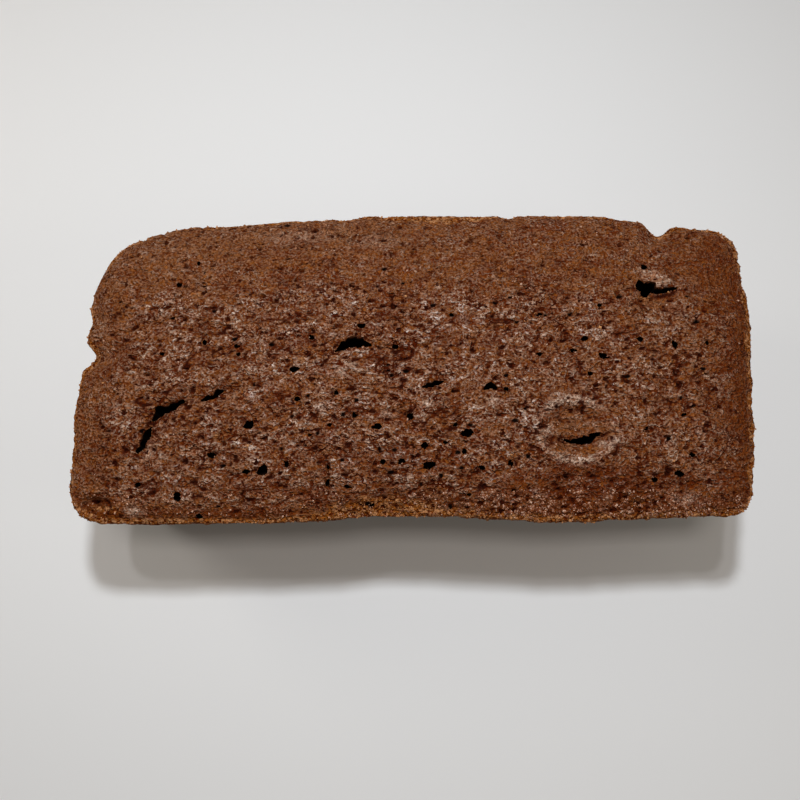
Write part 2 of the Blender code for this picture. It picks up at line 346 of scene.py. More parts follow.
    def crater_radius(self, x: float, y: float) -> float:
        """Distance from the crater's middle, 1 on its ring."""
        return math.hypot(
            (x - self.crater[0]) / self.crater_ring[0],
            (y - self.crater[1]) / self.crater_ring[1],
        )

    def rim_height(self, x: float, y: float) -> float:
        """Height of the rim above the table, which waves round the loaf and is torn low in front."""
        torn = self.torn_rim.at(x) * rise(y, -31.0 * MM, -7.0 * MM)
        return self.rim + 0.9 * MM * self.wander(x, y, self.rim, 21.0 * MM) + torn

    def height(self, x: float, y: float, edge_distance: float) -> float:
        """Height of the crust above the table.

        Args:
            x: Place along the loaf.
            y: Place across the loaf.
            edge_distance: How far the point lies inside the rim.

        Returns:
            The height, as the solid has it.
        """
        crown = max(0.0, 1.0 - (x / self.left) ** 2) * max(0.0, 1.0 - (y / self.near) ** 2)
        height = self.rim_height(x, y) + self.crown_rise * crown
        height += self.edge_rise * (1.0 - math.exp(-edge_distance / self.edge_run))
        inside = smooth_step(edge_distance / self.edge_run)
        fold = noise.noise(Vector((x / (17.0 * MM), y / (5.5 * MM), 0.0)) + self.noise_origin)
        height += inside * (0.75 * MM * self.wander(x, y, 0.0, 15.0 * MM) + 0.55 * MM * fold)
        height -= self.furrow_depth * bell(self.furrow_distance(x, y), self.furrow_width)
        radius = self.crater_radius(x, y)
        height -= self.crater_depth * bell(radius, 1.0)
        height += self.crater_lift * bell(radius - 1.0, self.crater_lift_width)
        return height + sum(dent.at(x, y) for dent in self.dents)


@dataclass(frozen=True)
class RaggedRim:
    """The torn, crumbly edge of the rim: how far it stands back, and where."""

    fade: float = 3.0 * MM

    def offset(self, x: float, y: float) -> float:
        """How far the edge lies inside (-) its plain line at a place on it."""
        coarse = plan_noise(x, y, 4.0, 2.6 * MM)
        fine = plan_noise(x, y, 9.0, 1.1 * MM)
        right = 1.0 + 0.8 * rise(x, 78.0 * MM, 4.0 * MM)
        return -right * MM * (0.28 * max(0.0, coarse + 0.3) + 0.24 * max(0.0, fine + 0.2))


@dataclass(frozen=True)
class FineCrust:
    """The crust's fine surface above the solid's form: folds, knots, grain and pits."""

    fold_height: float = 0.45 * MM
    fold_span: tuple[float, float] = (8.0 * MM, 2.6 * MM)
    knob_height: float = 0.85 * MM
    knob_span: tuple[float, float] = (3.3 * MM, 1.8 * MM)
    knob_crease: float = 0.13
    grain_height: float = 0.34 * MM
    grain_span: float = 1.15 * MM
    crease_depth: float = 0.30 * MM
    crease_width: float = 0.10
    torn_height: float = 0.55 * MM
    torn_span: float = 1.3 * MM
    pit_count: int = 1500
    pit_seed: int = 41
    pit_x_mm: tuple[float, float] = (-79.0, 81.0)
    pit_y_mm: tuple[float, float] = (-38.0, 38.0)
    pit_stretch: tuple[float, float] = (1.0, 1.9)
    open_share: float = 0.09
    pit_radius: tuple[float, float] = (0.45 * MM, 0.85 * MM)
    pit_depth: tuple[float, float] = (0.45 * MM, 1.20 * MM)

    def fold_zone(self, x: float, y: float) -> float:
        """How strongly the crust is folded here: most in the middle and in front."""
        middle = 0.35 + 0.65 * rise(y, 23.0 * MM, -14.0 * MM)
        back_wrinkles = bell(x + 22.0 * MM, 26.0 * MM) * bell(y - 35.0 * MM, 6.0 * MM)
        sides = rise(abs(x), 80.0 * MM, -12.0 * MM)
        return middle * (0.35 + 0.65 * sides) + 0.8 * back_wrinkles

    def crease(self, x: float, y: float) -> float:
        """A net of thin creases that run along the loaf, 1 in a crease's bottom."""
        along, across = self.fold_span
        level = noise.noise(Vector((x / along + 0.4, y / across + 3.0, 7.3)))
        gate = smooth_step(1.6 * plan_noise(x, y, 2.2, 12.0 * MM, 9.0 * MM) + 0.55)
        return gate * math.exp(-((level / self.crease_width) ** 2))

    def relief(self, x: float, y: float, torn: float) -> tuple[float, float, float]:
        """Fine relief of the crust.

        Args:
            x: Place along the loaf.
            y: Place across the loaf.
            torn: How far the crust is torn away here, 0 to 1.

        Returns:
            Height above the solid's form, and how much the point lies in a crease and on a crest.
        """
        along, across = self.fold_span
        zone = self.fold_zone(x, y)
        fold = plan_noise(x, y, 1.7, along, across)
        fold += 0.5 * plan_noise(1.9 * x, 1.8 * y, 5.1, along, across)
        knob = plan_noise(x, y, 2.9, *self.knob_span)
        grain = plan_noise(x, y, 6.1, self.grain_span)
        crease = zone * self.crease(x, y)
        height = zone * self.fold_height * fold - self.crease_depth * crease
        height += (0.45 + 0.55 * zone) * self.knob_height * (abs(knob) - 0.22)
        height += self.grain_height * (abs(grain) - 0.2)
        # crease also marks the valleys between knobs, where the finish paints shade
        crease = max(crease, (0.05 + 0.7 * zone) * math.exp(-((knob / self.knob_crease) ** 2)))
        if torn > 0.0:
            rough = plan_noise(x, y, 3.3, self.torn_span)
            height += torn * self.torn_height * (rough - 0.45)
        # crest marks the knob tops, where the finish paints highlights
        crest = 0.7 * smooth_step((abs(knob) - 0.04) / 0.26) + 0.3 * smooth_step(0.5 + fold)
        return height, crease, crest * (1.0 - crease)


@dataclass(frozen=True)
class TornPlaces:
    """Where the crust has come away and the golden crumb shows."""

    front_band: tuple[float, float, float] = (-9.0 * MM, 26.0 * MM, 4.4 * MM)
    back_band: tuple[float, float, float] = (6.0 * MM, 24.0 * MM, 3.0 * MM)
    corner: tuple[float, float, float, float] = (-75.6 * MM, -38.7 * MM, 5.8 * MM, 2.9 * MM)
    rim_line: float = 1.1 * MM
    front_line: float = 1.8 * MM
    flecks: tuple[Patch, ...] = patches_mm(
        (-56.6, 16.8, 2.6, 1.4, 1.3), (-28.4, -1.2, 1.5, 0.9, 1.2), (-25.9, -7.6, 1.4, 0.8, 1.2),
        (-48.5, -20.6, 1.8, 2.2, 0.9), (40.9, -23.8, 2.6, 1.2, 1.0), (36.0, -21.5, 3.4, 2.2, 0.7),
        (46.6, -19.9, 3.4, 0.8, 0.8), (57.5, 15.0, 3.5, 2.0, 0.6),
    )

    def band(self, x: float, edge: float, place: tuple[float, float, float]) -> float:
        """Share of torn crumb in a band along a rim."""
        middle, half, width = place
        ragged = 1.0 + 0.7 * noise.noise(Vector((x / (2.4 * MM), 1.0, 1.0)))
        reach = width * bell(x - middle, half) * ragged
        return smooth_step((reach - edge) / (0.8 * MM) + 0.5) if reach > 0.0 else 0.0

    def at(self, x: float, y: float, edge: float) -> float:
        """Share of torn golden crumb at a plan point, 0 to 1."""
        place = self.front_band if y < 0.0 else self.back_band
        torn = self.band(x, edge, place)
        left, near, half_x, half_y = self.corner
        ragged = 0.35 * plan_noise(x, y, 8.0, 2.0 * MM)
        corner = math.hypot((x - left) / half_x, (y - near) / half_y) + ragged
        torn = max(torn, smooth_step((1.0 - corner) / 0.25))
        patchy = 0.6 + 0.9 * plan_noise(x, y, 5.0, 5.0 * MM)
        front = rise(y, -34.0 * MM, -4.0 * MM)
        right = rise(x, 77.0 * MM, 4.0 * MM)
        back = self.rim_line * patchy * (1.0 + 1.1 * right)
        line = self.front_line * (0.62 + 0.38 * rise(x, -26.0 * MM, 12.0 * MM))
        reach = back * (1.0 - front) + line * (0.7 + 0.3 * patchy) * front
        line = smooth_step((reach - edge) / (0.5 * MM) + 0.5)
        uneven = 1.0 + 0.9 * plan_noise(x, y, 11.0, 0.9 * MM)
        fleck = max(patch.at(x, y) for patch in self.flecks) * uneven
        return max(torn, line, min(1.0, fleck))


@dataclass(frozen=True)
class TonesAndPaintedLight:
    """Where the crust is darker and redder (its own tone, and painted shade on its margins), where it stays
    paler, and where painted glints show.
    """

    # darker patches: partly the crust's own tone, partly painted shade on the front and right margins
    dark: tuple[Patch, ...] = patches_mm(
        (42.0, -31.8, 34.0, 7.5, 1.6), (38.0, -38.5, 38.0, 3.6, 1.5), (72.0, -32.0, 14.0, 10.0, 0.6),
        (87.0, -12.0, 24.0, 36.0, 1.6), (86.0, 24.0, 28.0, 28.0, 1.0), (-2.0, -26.0, 24.0, 5.5, 0.8),
        (-8.0, -33.5, 30.0, 4.0, 0.6), (5.5, 4.0, 9.0, 4.0, 0.5), (-38.0, -15.0, 9.0, 7.0, 0.3),
        (-75.5, -35.6, 5.5, 1.4, 2.5), (-40.0, -32.5, 20.0, 3.0, 0.5),
    )
    pale: tuple[Patch, ...] = patches_mm(
        (-62.0, 34.0, 34.0, 22.0, 0.9), (-20.0, 36.0, 46.0, 13.0, 0.9), (-80.0, 12.0, 10.0, 20.0, 0.5),
        (-60.0, -36.0, 26.0, 6.0, 0.4),
    )
    # painted glints: small patches, and arcs on the crater's ring
    glints: tuple[Patch, ...] = patches_mm(
        (-68.3, -37.9, 3.6, 1.7, 1.0), (18.0, -12.0, 2.4, 1.5, 0.9), (-23.6, -13.3, 1.8, 2.2, 0.9),
        (-16.3, -2.5, 2.2, 1.6, 0.9), (-18.9, -4.6, 1.9, 1.6, 0.9), (-8.0, -14.8, 2.0, 1.6, 0.8),
        (2.1, -12.5, 2.0, 1.4, 0.8), (44.0, -22.4, 2.6, 1.4, 0.8), (31.2, -18.8, 2.4, 2.4, 0.9),
        (-64.5, -23.5, 2.0, 3.6, 0.5), (64.0, -35.0, 5.0, 2.2, 0.6),
        (-80.2, 8.7, 1.3, 1.0, 0.8), (-30.0, 33.6, 12.0, 3.4, 0.28), (-10.0, 32.0, 9.0, 3.0, 0.28),
    )
    arcs: tuple[tuple[float, float, float], ...] = (
        (100.0, 80.0, 1.6), (190.0, 40.0, 0.7), (262.0, 60.0, 1.5), (340.0, 40.0, 0.8),
    )
    ring_width: float = 0.17

    def baked(self, x: float, y: float) -> float:
        """How much darker and redder than usual the crust is, 0 to 1: its own tone, and painted shade on the
        margins that slope away from the light.
        """
        uneven = 1.0 + 0.6 * plan_noise(x, y, 41.0, 6.0 * MM, 4.0 * MM)
        return min(1.0, sum(patch.at(x, y) for patch in self.dark) * uneven)

    def rim_shade(self, x: float, y: float, edge: float) -> float:
        """How dark the line is that runs just inside the front rim's golden crumb."""
        front = rise(y, -30.0 * MM, -5.0 * MM) * rise(x, -24.0 * MM, -8.0 * MM)
        right = rise(y, -30.0 * MM, -5.0 * MM) * rise(x, 12.0 * MM, 8.0 * MM)
        uneven = 1.0 + 0.8 * plan_noise(x, y, 43.0, 2.2 * MM)
        return min(1.0, max(front, right) * bell(edge - 2.0 * MM, 1.6 * MM) * uneven)

    def faded(self, x: float, y: float) -> float:
        """How much paler and more even than usual the crust is, 0 to 1."""
        uneven = 1.0 + 0.6 * plan_noise(x, y, 44.0, 7.0 * MM, 4.0 * MM)
        return min(1.0, sum(patch.at(x, y) for patch in self.pale) * uneven)

    def glint(self, form: LoafForm, x: float, y: float) -> float:
        """How strongly painted glints show: on arcs of the crater's ring and in small patches."""
        angle = math.degrees(math.atan2(y - form.crater[1], x - form.crater[0]))
        arc = max(
            share * bell((angle - middle + 180.0) % 360.0 - 180.0, half) for middle, half, share in self.arcs
        )
        ring = arc * bell(form.crater_radius(x, y) - 1.0, self.ring_width)
        uneven = 1.0 + 0.8 * plan_noise(x, y, 47.0, 1.3 * MM)
        return min(1.0, max(ring, max(patch.at(x, y) for patch in self.glints)) * uneven)


@dataclass(frozen=True)
class Openings:
    """The torn openings, round holes and grooves that the crust shows.

    Holes and openings have places in half millimetres, on a millimetre grid laid over the
    photograph at read_height. They were read off one by one, with earlier measured values in view.
    """

    torn: dict[str, Opening] = field(default_factory=lambda: {
        "crack_front": Opening(mm_tuple(
            (-67.5, -24.5, 0.8), (-66.5, -23.0, 1.8), (-66.0, -21.5, 2.0), (-65.5, -20.0, 2.2),
            (-64.5, -18.0, 0.8)), 4.5 * MM),
        "crack_back": Opening(mm_tuple(
            (-64.5, -16.5, 0.8), (-63.5, -15.5, 2.2), (-62.5, -14.5, 3.4), (-61.0, -13.5, 3.4),
            (-59.5, -13.0, 2.4), (-58.5, -12.5, 1.6), (-57.0, -11.5, 0.8)), 5.5 * MM),
        "crack_inner": Opening(mm_tuple(
            (-53.0, -11.5, 0.6), (-51.5, -11.0, 1.6), (-50.0, -10.5, 1.8), (-49.0, -9.5, 2.0),
            (-47.5, -9.0, 0.6)), 4.0 * MM),
        "hole_left": Opening(mm_tuple(
            (-20.5, 1.0, 0.6), (-19.5, 2.0, 1.6), (-18.0, 3.0, 3.0), (-16.5, 3.5, 3.6),
            (-15.0, 3.5, 3.2), (-13.5, 3.0, 2.0), (-11.5, 3.0, 0.8)), 5.5 * MM),
        "hole_right": Opening(mm_tuple(
            (55.5, 18.5, 1.2), (56.5, 18.5, 4.4), (58.0, 18.0, 5.2), (59.5, 18.0, 4.4),
            (60.5, 17.5, 2.2), (62.5, 17.5, 1.4), (64.5, 18.0, 1.8), (66.0, 18.0, 0.6)), 6.0 * MM),
        "crater_slit": Opening(mm_tuple(
            (34.5, -21.0, 0.6), (36.0, -21.5, 1.0), (37.0, -22.0, 1.6), (38.5, -21.5, 2.6),
            (40.0, -21.5, 2.8), (41.5, -21.0, 2.2), (42.5, -20.0, 1.6), (44.0, -20.0, 1.0)), 5.0 * MM),
        "slit_middle": Opening(mm_tuple(
            (1.0, -8.0, 0.6), (3.0, -7.5, 1.6), (4.5, -7.0, 1.6), (6.5, -6.5, 0.6)), 3.0 * MM),
        "slit_right": Opening(mm_tuple(
            (16.0, -8.5, 0.8), (17.5, -8.0, 2.0), (18.5, -8.0, 1.8), (19.5, -8.5, 0.8)), 3.5 * MM),
    })
    round: tuple[Hole, ...] = holes_mm(
        (-66.5, -32.0, 1.4, 1.2), (-63.5, 0.5, 1.4, 0.8), (-61.5, 10.0, 1.0, 2.2),
        (-60.5, 19.0, 1.6, 1.2), (-57.0, -35.0, 2.4, 1.0), (-56.0, 25.0, 1.2, 0.9),
        (-53.0, 3.5, 1.6, 1.2), (-51.5, -39.5, 1.4, 1.4), (-49.5, -25.0, 1.8, 1.6),
        (-45.0, 2.5, 1.4, 1.4), (-44.5, 0.5, 1.2, 1.4), (-41.0, -17.5, 2.6, 1.0),
        (-41.0, -29.0, 1.6, 1.4), (-37.0, -28.5, 2.6, 1.2), (-31.5, -27.0, 1.6, 0.8),
        (-30.5, -3.5, 2.2, 1.8), (-29.5, -11.0, 1.6, 1.2), (-26.5, 5.0, 1.6, 1.6),
        (-26.0, -20.0, 1.0, 2.0), (-21.5, -17.5, 1.2, 2.0), (-21.5, -28.0, 1.2, 0.8),
        (-21.5, -31.5, 1.6, 1.0), (-20.0, -9.5, 1.4, 0.8), (-17.0, -32.5, 1.2, 1.8),
        (-15.5, -15.0, 1.4, 0.8), (-14.0, 8.0, 1.8, 2.0), (-11.0, -37.0, 1.4, 1.6),
        (-10.0, -18.0, 2.2, 1.6), (-8.5, -26.5, 1.4, 1.0), (-5.5, 2.5, 1.4, 1.8),
        (-4.0, -26.5, 1.6, 1.4), (-2.0, -15.5, 2.0, 1.2), (1.5, -22.5, 1.8, 1.0), (2.5, -27.5, 2.6, 1.6),
        (6.5, -22.0, 1.2, 1.2), (8.5, 11.0, 1.2, 1.4), (9.0, -17.5, 1.2, 2.0), (11.0, -24.0, 1.4, 1.2),
        (12.0, -19.5, 2.6, 1.4), (12.0, -34.5, 1.2, 1.8), (15.0, -28.0, 1.6, 1.8),
        (21.5, -8.5, 1.4, 1.2), (22.0, -27.0, 1.6, 1.0), (22.5, -33.5, 1.2, 1.8), (30.0, 0.5, 1.4, 2.2),
        (30.5, 11.0, 1.4, 1.8), (38.5, 1.5, 1.4, 2.0), (41.5, 4.5, 1.8, 1.4), (42.5, -4.5, 1.4, 1.6),
        (46.0, 0.0, 2.2, 1.4), (46.0, 13.5, 1.2, 1.4), (55.0, -18.5, 1.2, 1.6), (55.5, 4.5, 1.4, 1.2),
        (56.0, -31.0, 1.6, 1.4), (58.0, 24.0, 1.8, 1.6), (62.0, -29.5, 2.2, 1.4), (64.0, 3.0, 1.8, 0.6),
        (64.5, -15.0, 1.2, 1.8), (65.5, -25.0, 1.6, 1.8), (72.0, 3.5, 1.2, 0.8),
    )
    grooves: tuple[Groove, ...] = (
        Groove(mm_tuple((44.0, -20.0), (46.5, -19.5), (49.5, -19.5)), 0.75 * MM, 0.6 * MM, 0.12),
        Groove(mm_tuple((-57.5, -12.0), (-55.4, -11.3), (-53.2, -11.5)), 0.7 * MM, 0.5 * MM),
        Groove(mm_tuple((-22.3, -23.5), (-21.5, -27.5), (-21.6, -34.5)), 0.8 * MM, 0.7 * MM),
        Groove(mm_tuple((22.2, -8.6), (25.0, -9.6), (28.5, -10.4)), 0.8 * MM, 0.5 * MM),
        Groove(mm_tuple((-12.2, 2.7), (-9.5, 2.2), (-5.0, 2.2)), 0.8 * MM, 0.5 * MM),
        Groove(mm_tuple((-26.5, -5.8), (-22.5, -6.3), (-20.0, -6.0)), 0.7 * MM, 0.4 * MM),
        Groove(mm_tuple(
            (-78.9, -36.9), (-77.8, -36.0), (-76.6, -36.4), (-75.0, -35.6), (-73.4, -36.1), (-72.6, -37.9),
        ), 0.95 * MM, 0.95 * MM, 0.42),
        Groove(mm_tuple((-77.0, -37.8), (-75.4, -37.2), (-74.2, -37.9)), 0.8 * MM, 0.7 * MM, 0.25),
    )
    read_height: float = 45.5 * MM
    sides: int = 12
    stations: int = 18
    seed: int = 17


class Cutters:
    """Makes the hollow shapes that the openings cut out of the loaf."""

    def __init__(self, surface: BVHTree, seed: int) -> None:
        """Keep the surface that is cut and the seed of the uneven outlines.

        Args:
            surface: The crust before it is cut.
            seed: Seed of the random draws.
        """
        self.surface = surface
        self.draws = random.Random(seed)

    def on_crust(self, x: float, y: float) -> Vector:
        """The crust's point that the camera sees at a place read at the reading height."""
        eye = Vector(Studio.camera_place)
        return self.surface.ray_cast(eye, Vector((x, y, Openings.read_height)) - eye)[0]

    def hollow(self, hole: Hole) -> BMesh:
        """A round hole's hollow: an uneven bulb a little wider below its mouth."""
        bm = bmesh.new()
        bmesh.ops.create_icosphere(bm, subdivisions=3, radius=1.0)
        bulge = 1.12
        radius = 0.5 * hole.across * bulge * 0.98
        depth = 0.5 * hole.across * self.draws.uniform(1.6, 2.2)
        sink = depth * math.sqrt(1.0 - 1.0 / bulge ** 2)
        mouth = self.on_crust(hole.x, hole.y)
        shift = Vector([self.draws.uniform(0.0, 50.0) for axis in range(3)])
        turn = self.draws.uniform(-0.3, 0.3)
        for vert in bm.verts:
            uneven = 1.0 + 0.50 * noise.noise(vert.co * 1.4 + shift)
            uneven += 0.30 * noise.noise(vert.co * 3.4 + shift)
            vert.co.x *= radius * math.sqrt(hole.stretch) * uneven
            vert.co.y *= radius / math.sqrt(hole.stretch) * uneven
            vert.co.z *= depth
        bmesh.ops.rotate(bm, verts=bm.verts, matrix=Matrix.Rotation(turn, 3, "Z"))
        bmesh.ops.translate(bm, verts=bm.verts, vec=mouth - Vector((0.0, 0.0, sink)))
        return bm

    def tunnel(self, opening: Opening, sides: int, rings: int) -> BMesh:
        """A torn opening's hollow: rings along its stations, drawn to a point at both ends."""
        bm = bmesh.new()
        ring = bmesh.ops.create_circle(bm, segments=sides, radius=1.0)["verts"]
        angles = {vert: math.atan2(vert.co.y, vert.co.x) for vert in ring}
        edges = [edge for edge in bm.edges]
        shift = Vector([self.draws.uniform(0.0, 50.0) for axis in range(3)])
        for index in range(rings):
            if index > 0:
                made = bmesh.ops.extrude_edge_only(bm, edges=edges)["geom"]
                fresh = {}
                for vert in (item for item in made if isinstance(item, bmesh.types.BMVert)):
                    source = next(
                        edge.other_vert(vert) for edge in vert.link_edges
                        if edge.other_vert(vert) in angles
                    )
                    fresh[vert] = angles[source]
                edges = [
                    item for item in made
                    if isinstance(item, bmesh.types.BMEdge) and item.is_boundary
                    and all(vert in fresh for vert in item.verts)
                ]
                angles = fresh
            self.shape_ring(opening, angles, index / (rings - 1), shift)
        ends = [edge for edge in bm.edges if edge.is_boundary]
        bmesh.ops.holes_fill(bm, edges=ends, sides=0)
        bmesh.ops.recalc_face_normals(bm, faces=bm.faces)
        return bm

    def shape_ring(self, opening: Opening, angles: dict, share: float, shift: Vector) -> None:
        """Place one ring of a tunnel.

        Args:
            opening: The torn opening.
            angles: The ring's vertices and their angles.
            share: Place along the opening, 0 to 1.
            shift: Offset of the opening's own noise.
        """
        stations = opening.stations
        last = len(stations) - 1
        place = min(share * last, last - 1e-6)
        index = int(place)
        blend = smooth_step(place - index)
        start, end = stations[index], stations[index + 1]
        x, y, width = (a + (b - a) * (place - index) for a, b in zip(start, end))
        width = start[2] + (end[2] - start[2]) * blend
        run = Vector((end[0] - start[0], end[1] - start[1], 0.0)).normalized()
        sideways = Vector((-run.y, run.x, 0.0))
        width *= 1.0 + 0.35 * noise.noise(Vector((x, y, 0.0)) / (0.9 * MM) + shift)
        drift = 0.30 * width * noise.noise(Vector((x, y, 3.0 * MM)) / (1.2 * MM) + shift)
        mouth = self.on_crust(x, y)
        taper = 0.35 + 0.65 * math.sin(math.pi * min(max(share, 0.06), 0.94))
        for vert, angle in angles.items():
            across = 0.5 * width * math.cos(angle) * (0.92 + 0.15 * math.sin(3.0 * angle + 9.0 * share))
            down = opening.depth * taper * (math.sin(angle) - 0.35)
            vert.co = mouth + sideways * (across + drift)
            vert.co.z = mouth.z + down


class Loaf:
    """The loaf as one closed mesh with a fine crust, cut by its openings."""

    def __init__(
        self, form: LoafForm, crust: FineCrust, torn: TornPlaces, tones: TonesAndPaintedLight, openings: Openings,
    ) -> None:
        """Keep what the loaf is made from.

        Args:
            form: The solid's form.
            crust: The fine surface.
            torn: Where golden crumb shows.
            tones: Where the crust is darker (partly painted shade) and paler, and where painted glints show.
            openings: Holes and torn openings.
        """
        self.form = form
        self.crust = crust
        self.torn = torn
        self.tones = tones
        self.openings = openings
        self.rag = RaggedRim()
        self.cells = (374, 180)
        self.lip = mm_tuple(
            (0.45, -0.34), (1.0, -0.5), (1.6, -0.44), (2.2, -0.22), (2.8, 0.06), (3.3, 0.6), (3.9, 1.9)
        )
        self.walls = mm_tuple((37.1, 1.9), (24.0, 3.2), (11.0, 4.3), (1.6, 5.1))
        self.wall_rings = 16
        self.foot = mm_tuple((1.6, 5.1), (0.6, 5.6), (0.0, 6.5))
        self.sharp_angle = math.radians(65.0)

    def rim_point(self, u: float, v: float, height: float, ragged: bool) -> tuple[float, float]:
        """Plan place of the rim's line at a height above the table."""
        nick_share = max(0.0, 1.0 - (self.form.rim - height) / self.form.nick_depth)
        x, y = self.form.plan_point(u, v, nick_share, 0.0)
        if ragged:
            x, y = self.form.plan_point(u, v, nick_share, self.rag.offset(x, y))
        return x, y

    def make_top(self, bm: BMesh) -> dict:
        """Press a grid into the outline, raise it to the dome and add the fine surface."""
        bmesh.ops.create_grid(bm, x_segments=self.cells[0], y_segments=self.cells[1], size=1.0)
        layers = {trait: bm.verts.layers.float[trait.value] for trait in Trait}
        rim = {vert: (vert.co.x, vert.co.y) for vert in bm.verts if vert.is_boundary}
        for vert in bm.verts:
            vert.co.x, vert.co.y = self.rim_point(vert.co.x, vert.co.y, self.form.rim, True)
        tree = KDTree(len(rim))
        for index, vert in enumerate(rim):
            tree.insert(vert.co, index)
        tree.balance()
        for vert in bm.verts:
            x, y = vert.co.x, vert.co.y
            edge = tree.find(vert.co)[2]
            torn = self.torn.at(x, y, edge)
            fine, in_crease, on_crest = self.crust.relief(x, y, torn)
            inside = 0.25 + 0.75 * smooth_step(edge / (1.5 * MM))
            vert.co.z = self.form.height(x, y, edge) + inside * fine
            inner = 0.20 + 0.80 * rise(edge, 0.9 * MM, 1.8 * MM)
            # Besides the crust's own tones, these values place painted shade (crease, and baked with the rim
            # shade line) and painted highlights (crest, sheen, glint).
            values = {
                Trait.CREASE: in_crease,
                Trait.CREST: on_crest,
                Trait.GOLD: torn,
                Trait.SHEEN: self.sheen(x, y, edge),
                Trait.PALE: self.pale(x, y),
                Trait.EVEN: self.even(x, y),
                Trait.GLINT: self.tones.glint(self.form, x, y),
                Trait.BAKED_AND_SHADE: max(self.tones.baked(x, y) * inner, self.tones.rim_shade(x, y, edge)),
                Trait.FADED: self.tones.faded(x, y),
            }
            for trait, value in values.items():
                vert[layers[trait]] = value
        return rim

    def sheen(self, x: float, y: float, edge: float) -> float:
        """Where the crust is a little glossy and light grain is painted as a highlight: its level middle and
        the crater's ring.
        """
        middle = rise(y, 24.0 * MM, -16.0 * MM) * rise(edge, 1.5 * MM, 7.0 * MM)
        middle *= 1.0 - 0.35 * rise(x, 44.0 * MM, 8.0 * MM)
        middle *= rise(x, -80.0 * MM, 14.0 * MM)
        patchy = 0.62 + 0.75 * plan_noise(x, y, 12.0, 7.0 * MM, 4.5 * MM)
        patchy += 0.35 * plan_noise(x, y, 15.0, 2.5 * MM, 2.0 * MM)
        angle = math.atan2(y - self.form.crater[1], x - self.form.crater[0])
        arcs = 0.75 + 0.5 * math.sin(2.0 * angle - 0.9)
        ring = 1.5 * arcs * bell(self.form.crater_radius(x, y) - 1.0, 0.26)
        inside = smooth_step((1.05 - self.form.crater_radius(x, y)) / 0.2)
        return max(0.06, max(middle * patchy * (1.0 - 0.7 * inside), ring))

    def pale(self, x: float, y: float) -> float:
        """Where torn crust is pale: the flap over the right hole."""
        from_middle = x - 60.9 * MM
        slanted = y - 20.9 * MM + 0.55 * from_middle
        flap = math.hypot(from_middle / (5.2 * MM), slanted / (2.7 * MM))
        flap += 0.5 * plan_noise(x, y, 2.0, 1.2 * MM)
        return smooth_step((1.0 - flap) / 0.3)

    def even(self, x: float, y: float) -> float:
        """Where the crust is smoother and more orange: inside the crater and by the right hole."""
        inside = 0.7 * smooth_step((0.85 - self.form.crater_radius(x, y)) / 0.35)
        under = bell(math.hypot((x - 60.0 * MM) / (6.5 * MM), (y - 14.5 * MM) / (4.0 * MM)), 1.0)
        patchy = 0.7 + 0.6 * plan_noise(x, y, 21.0, 2.2 * MM)
        return min(1.0, max(inside, under) * patchy)

    def make_walls(self, bm: BMesh, rim: dict) -> None:
        """Add the lip, the walls and the flat base under the crust."""
        edges = [edge for edge in bm.edges if edge.is_boundary]
        wall_top, lowest = self.walls[0][0], self.lip[-1][0]
        for drop, inset in self.lip:
            rim, edges = self.add_ring(
                bm, rim, edges, inset,
                lambda x, y: wall_top + (self.form.rim_height(x, y) - wall_top) * (1.0 - drop / lowest), True
            )
        rim, edges = self.halve_ring(bm, rim)
        for height, inset in self.wall_levels():
            rim, edges = self.add_ring(bm, rim, edges, inset, lambda x, y: height, False)
        bmesh.ops.holes_fill(bm, edges=edges, sides=0)
        bmesh.ops.recalc_face_normals(bm, faces=bm.faces)

    def wall_levels(self) -> Iterable[tuple[float, float]]:
        """Height and inset of each ring down the wall."""
        top, low = self.walls[0][0], self.foot[0][0]
        heights, insets = zip(*reversed(self.walls))
        for index in range(1, self.wall_rings):
            height = top + (low - top) * index / self.wall_rings
            yield height, float(np.interp(height, heights, insets))
        yield from self.foot

    def halve_ring(self, bm: BMesh, rim: dict) -> tuple[dict, list]:
        """Drop every second vertex of the open edge, where the lip hides the change."""
        start = next(iter(rim))
        order, seen = [start], {start}
        while True:
            following = next(
                (edge.other_vert(order[-1]) for edge in order[-1].link_edges
                 if edge.is_boundary and edge.other_vert(order[-1]) not in seen), None
            )
            if following is None:
                break
            order.append(following)
            seen.add(following)
        dropped = order[1::2]
        for vert in dropped:
            del rim[vert]
        bmesh.ops.dissolve_verts(bm, verts=dropped)
        return rim, [edge for edge in bm.edges if edge.is_boundary]

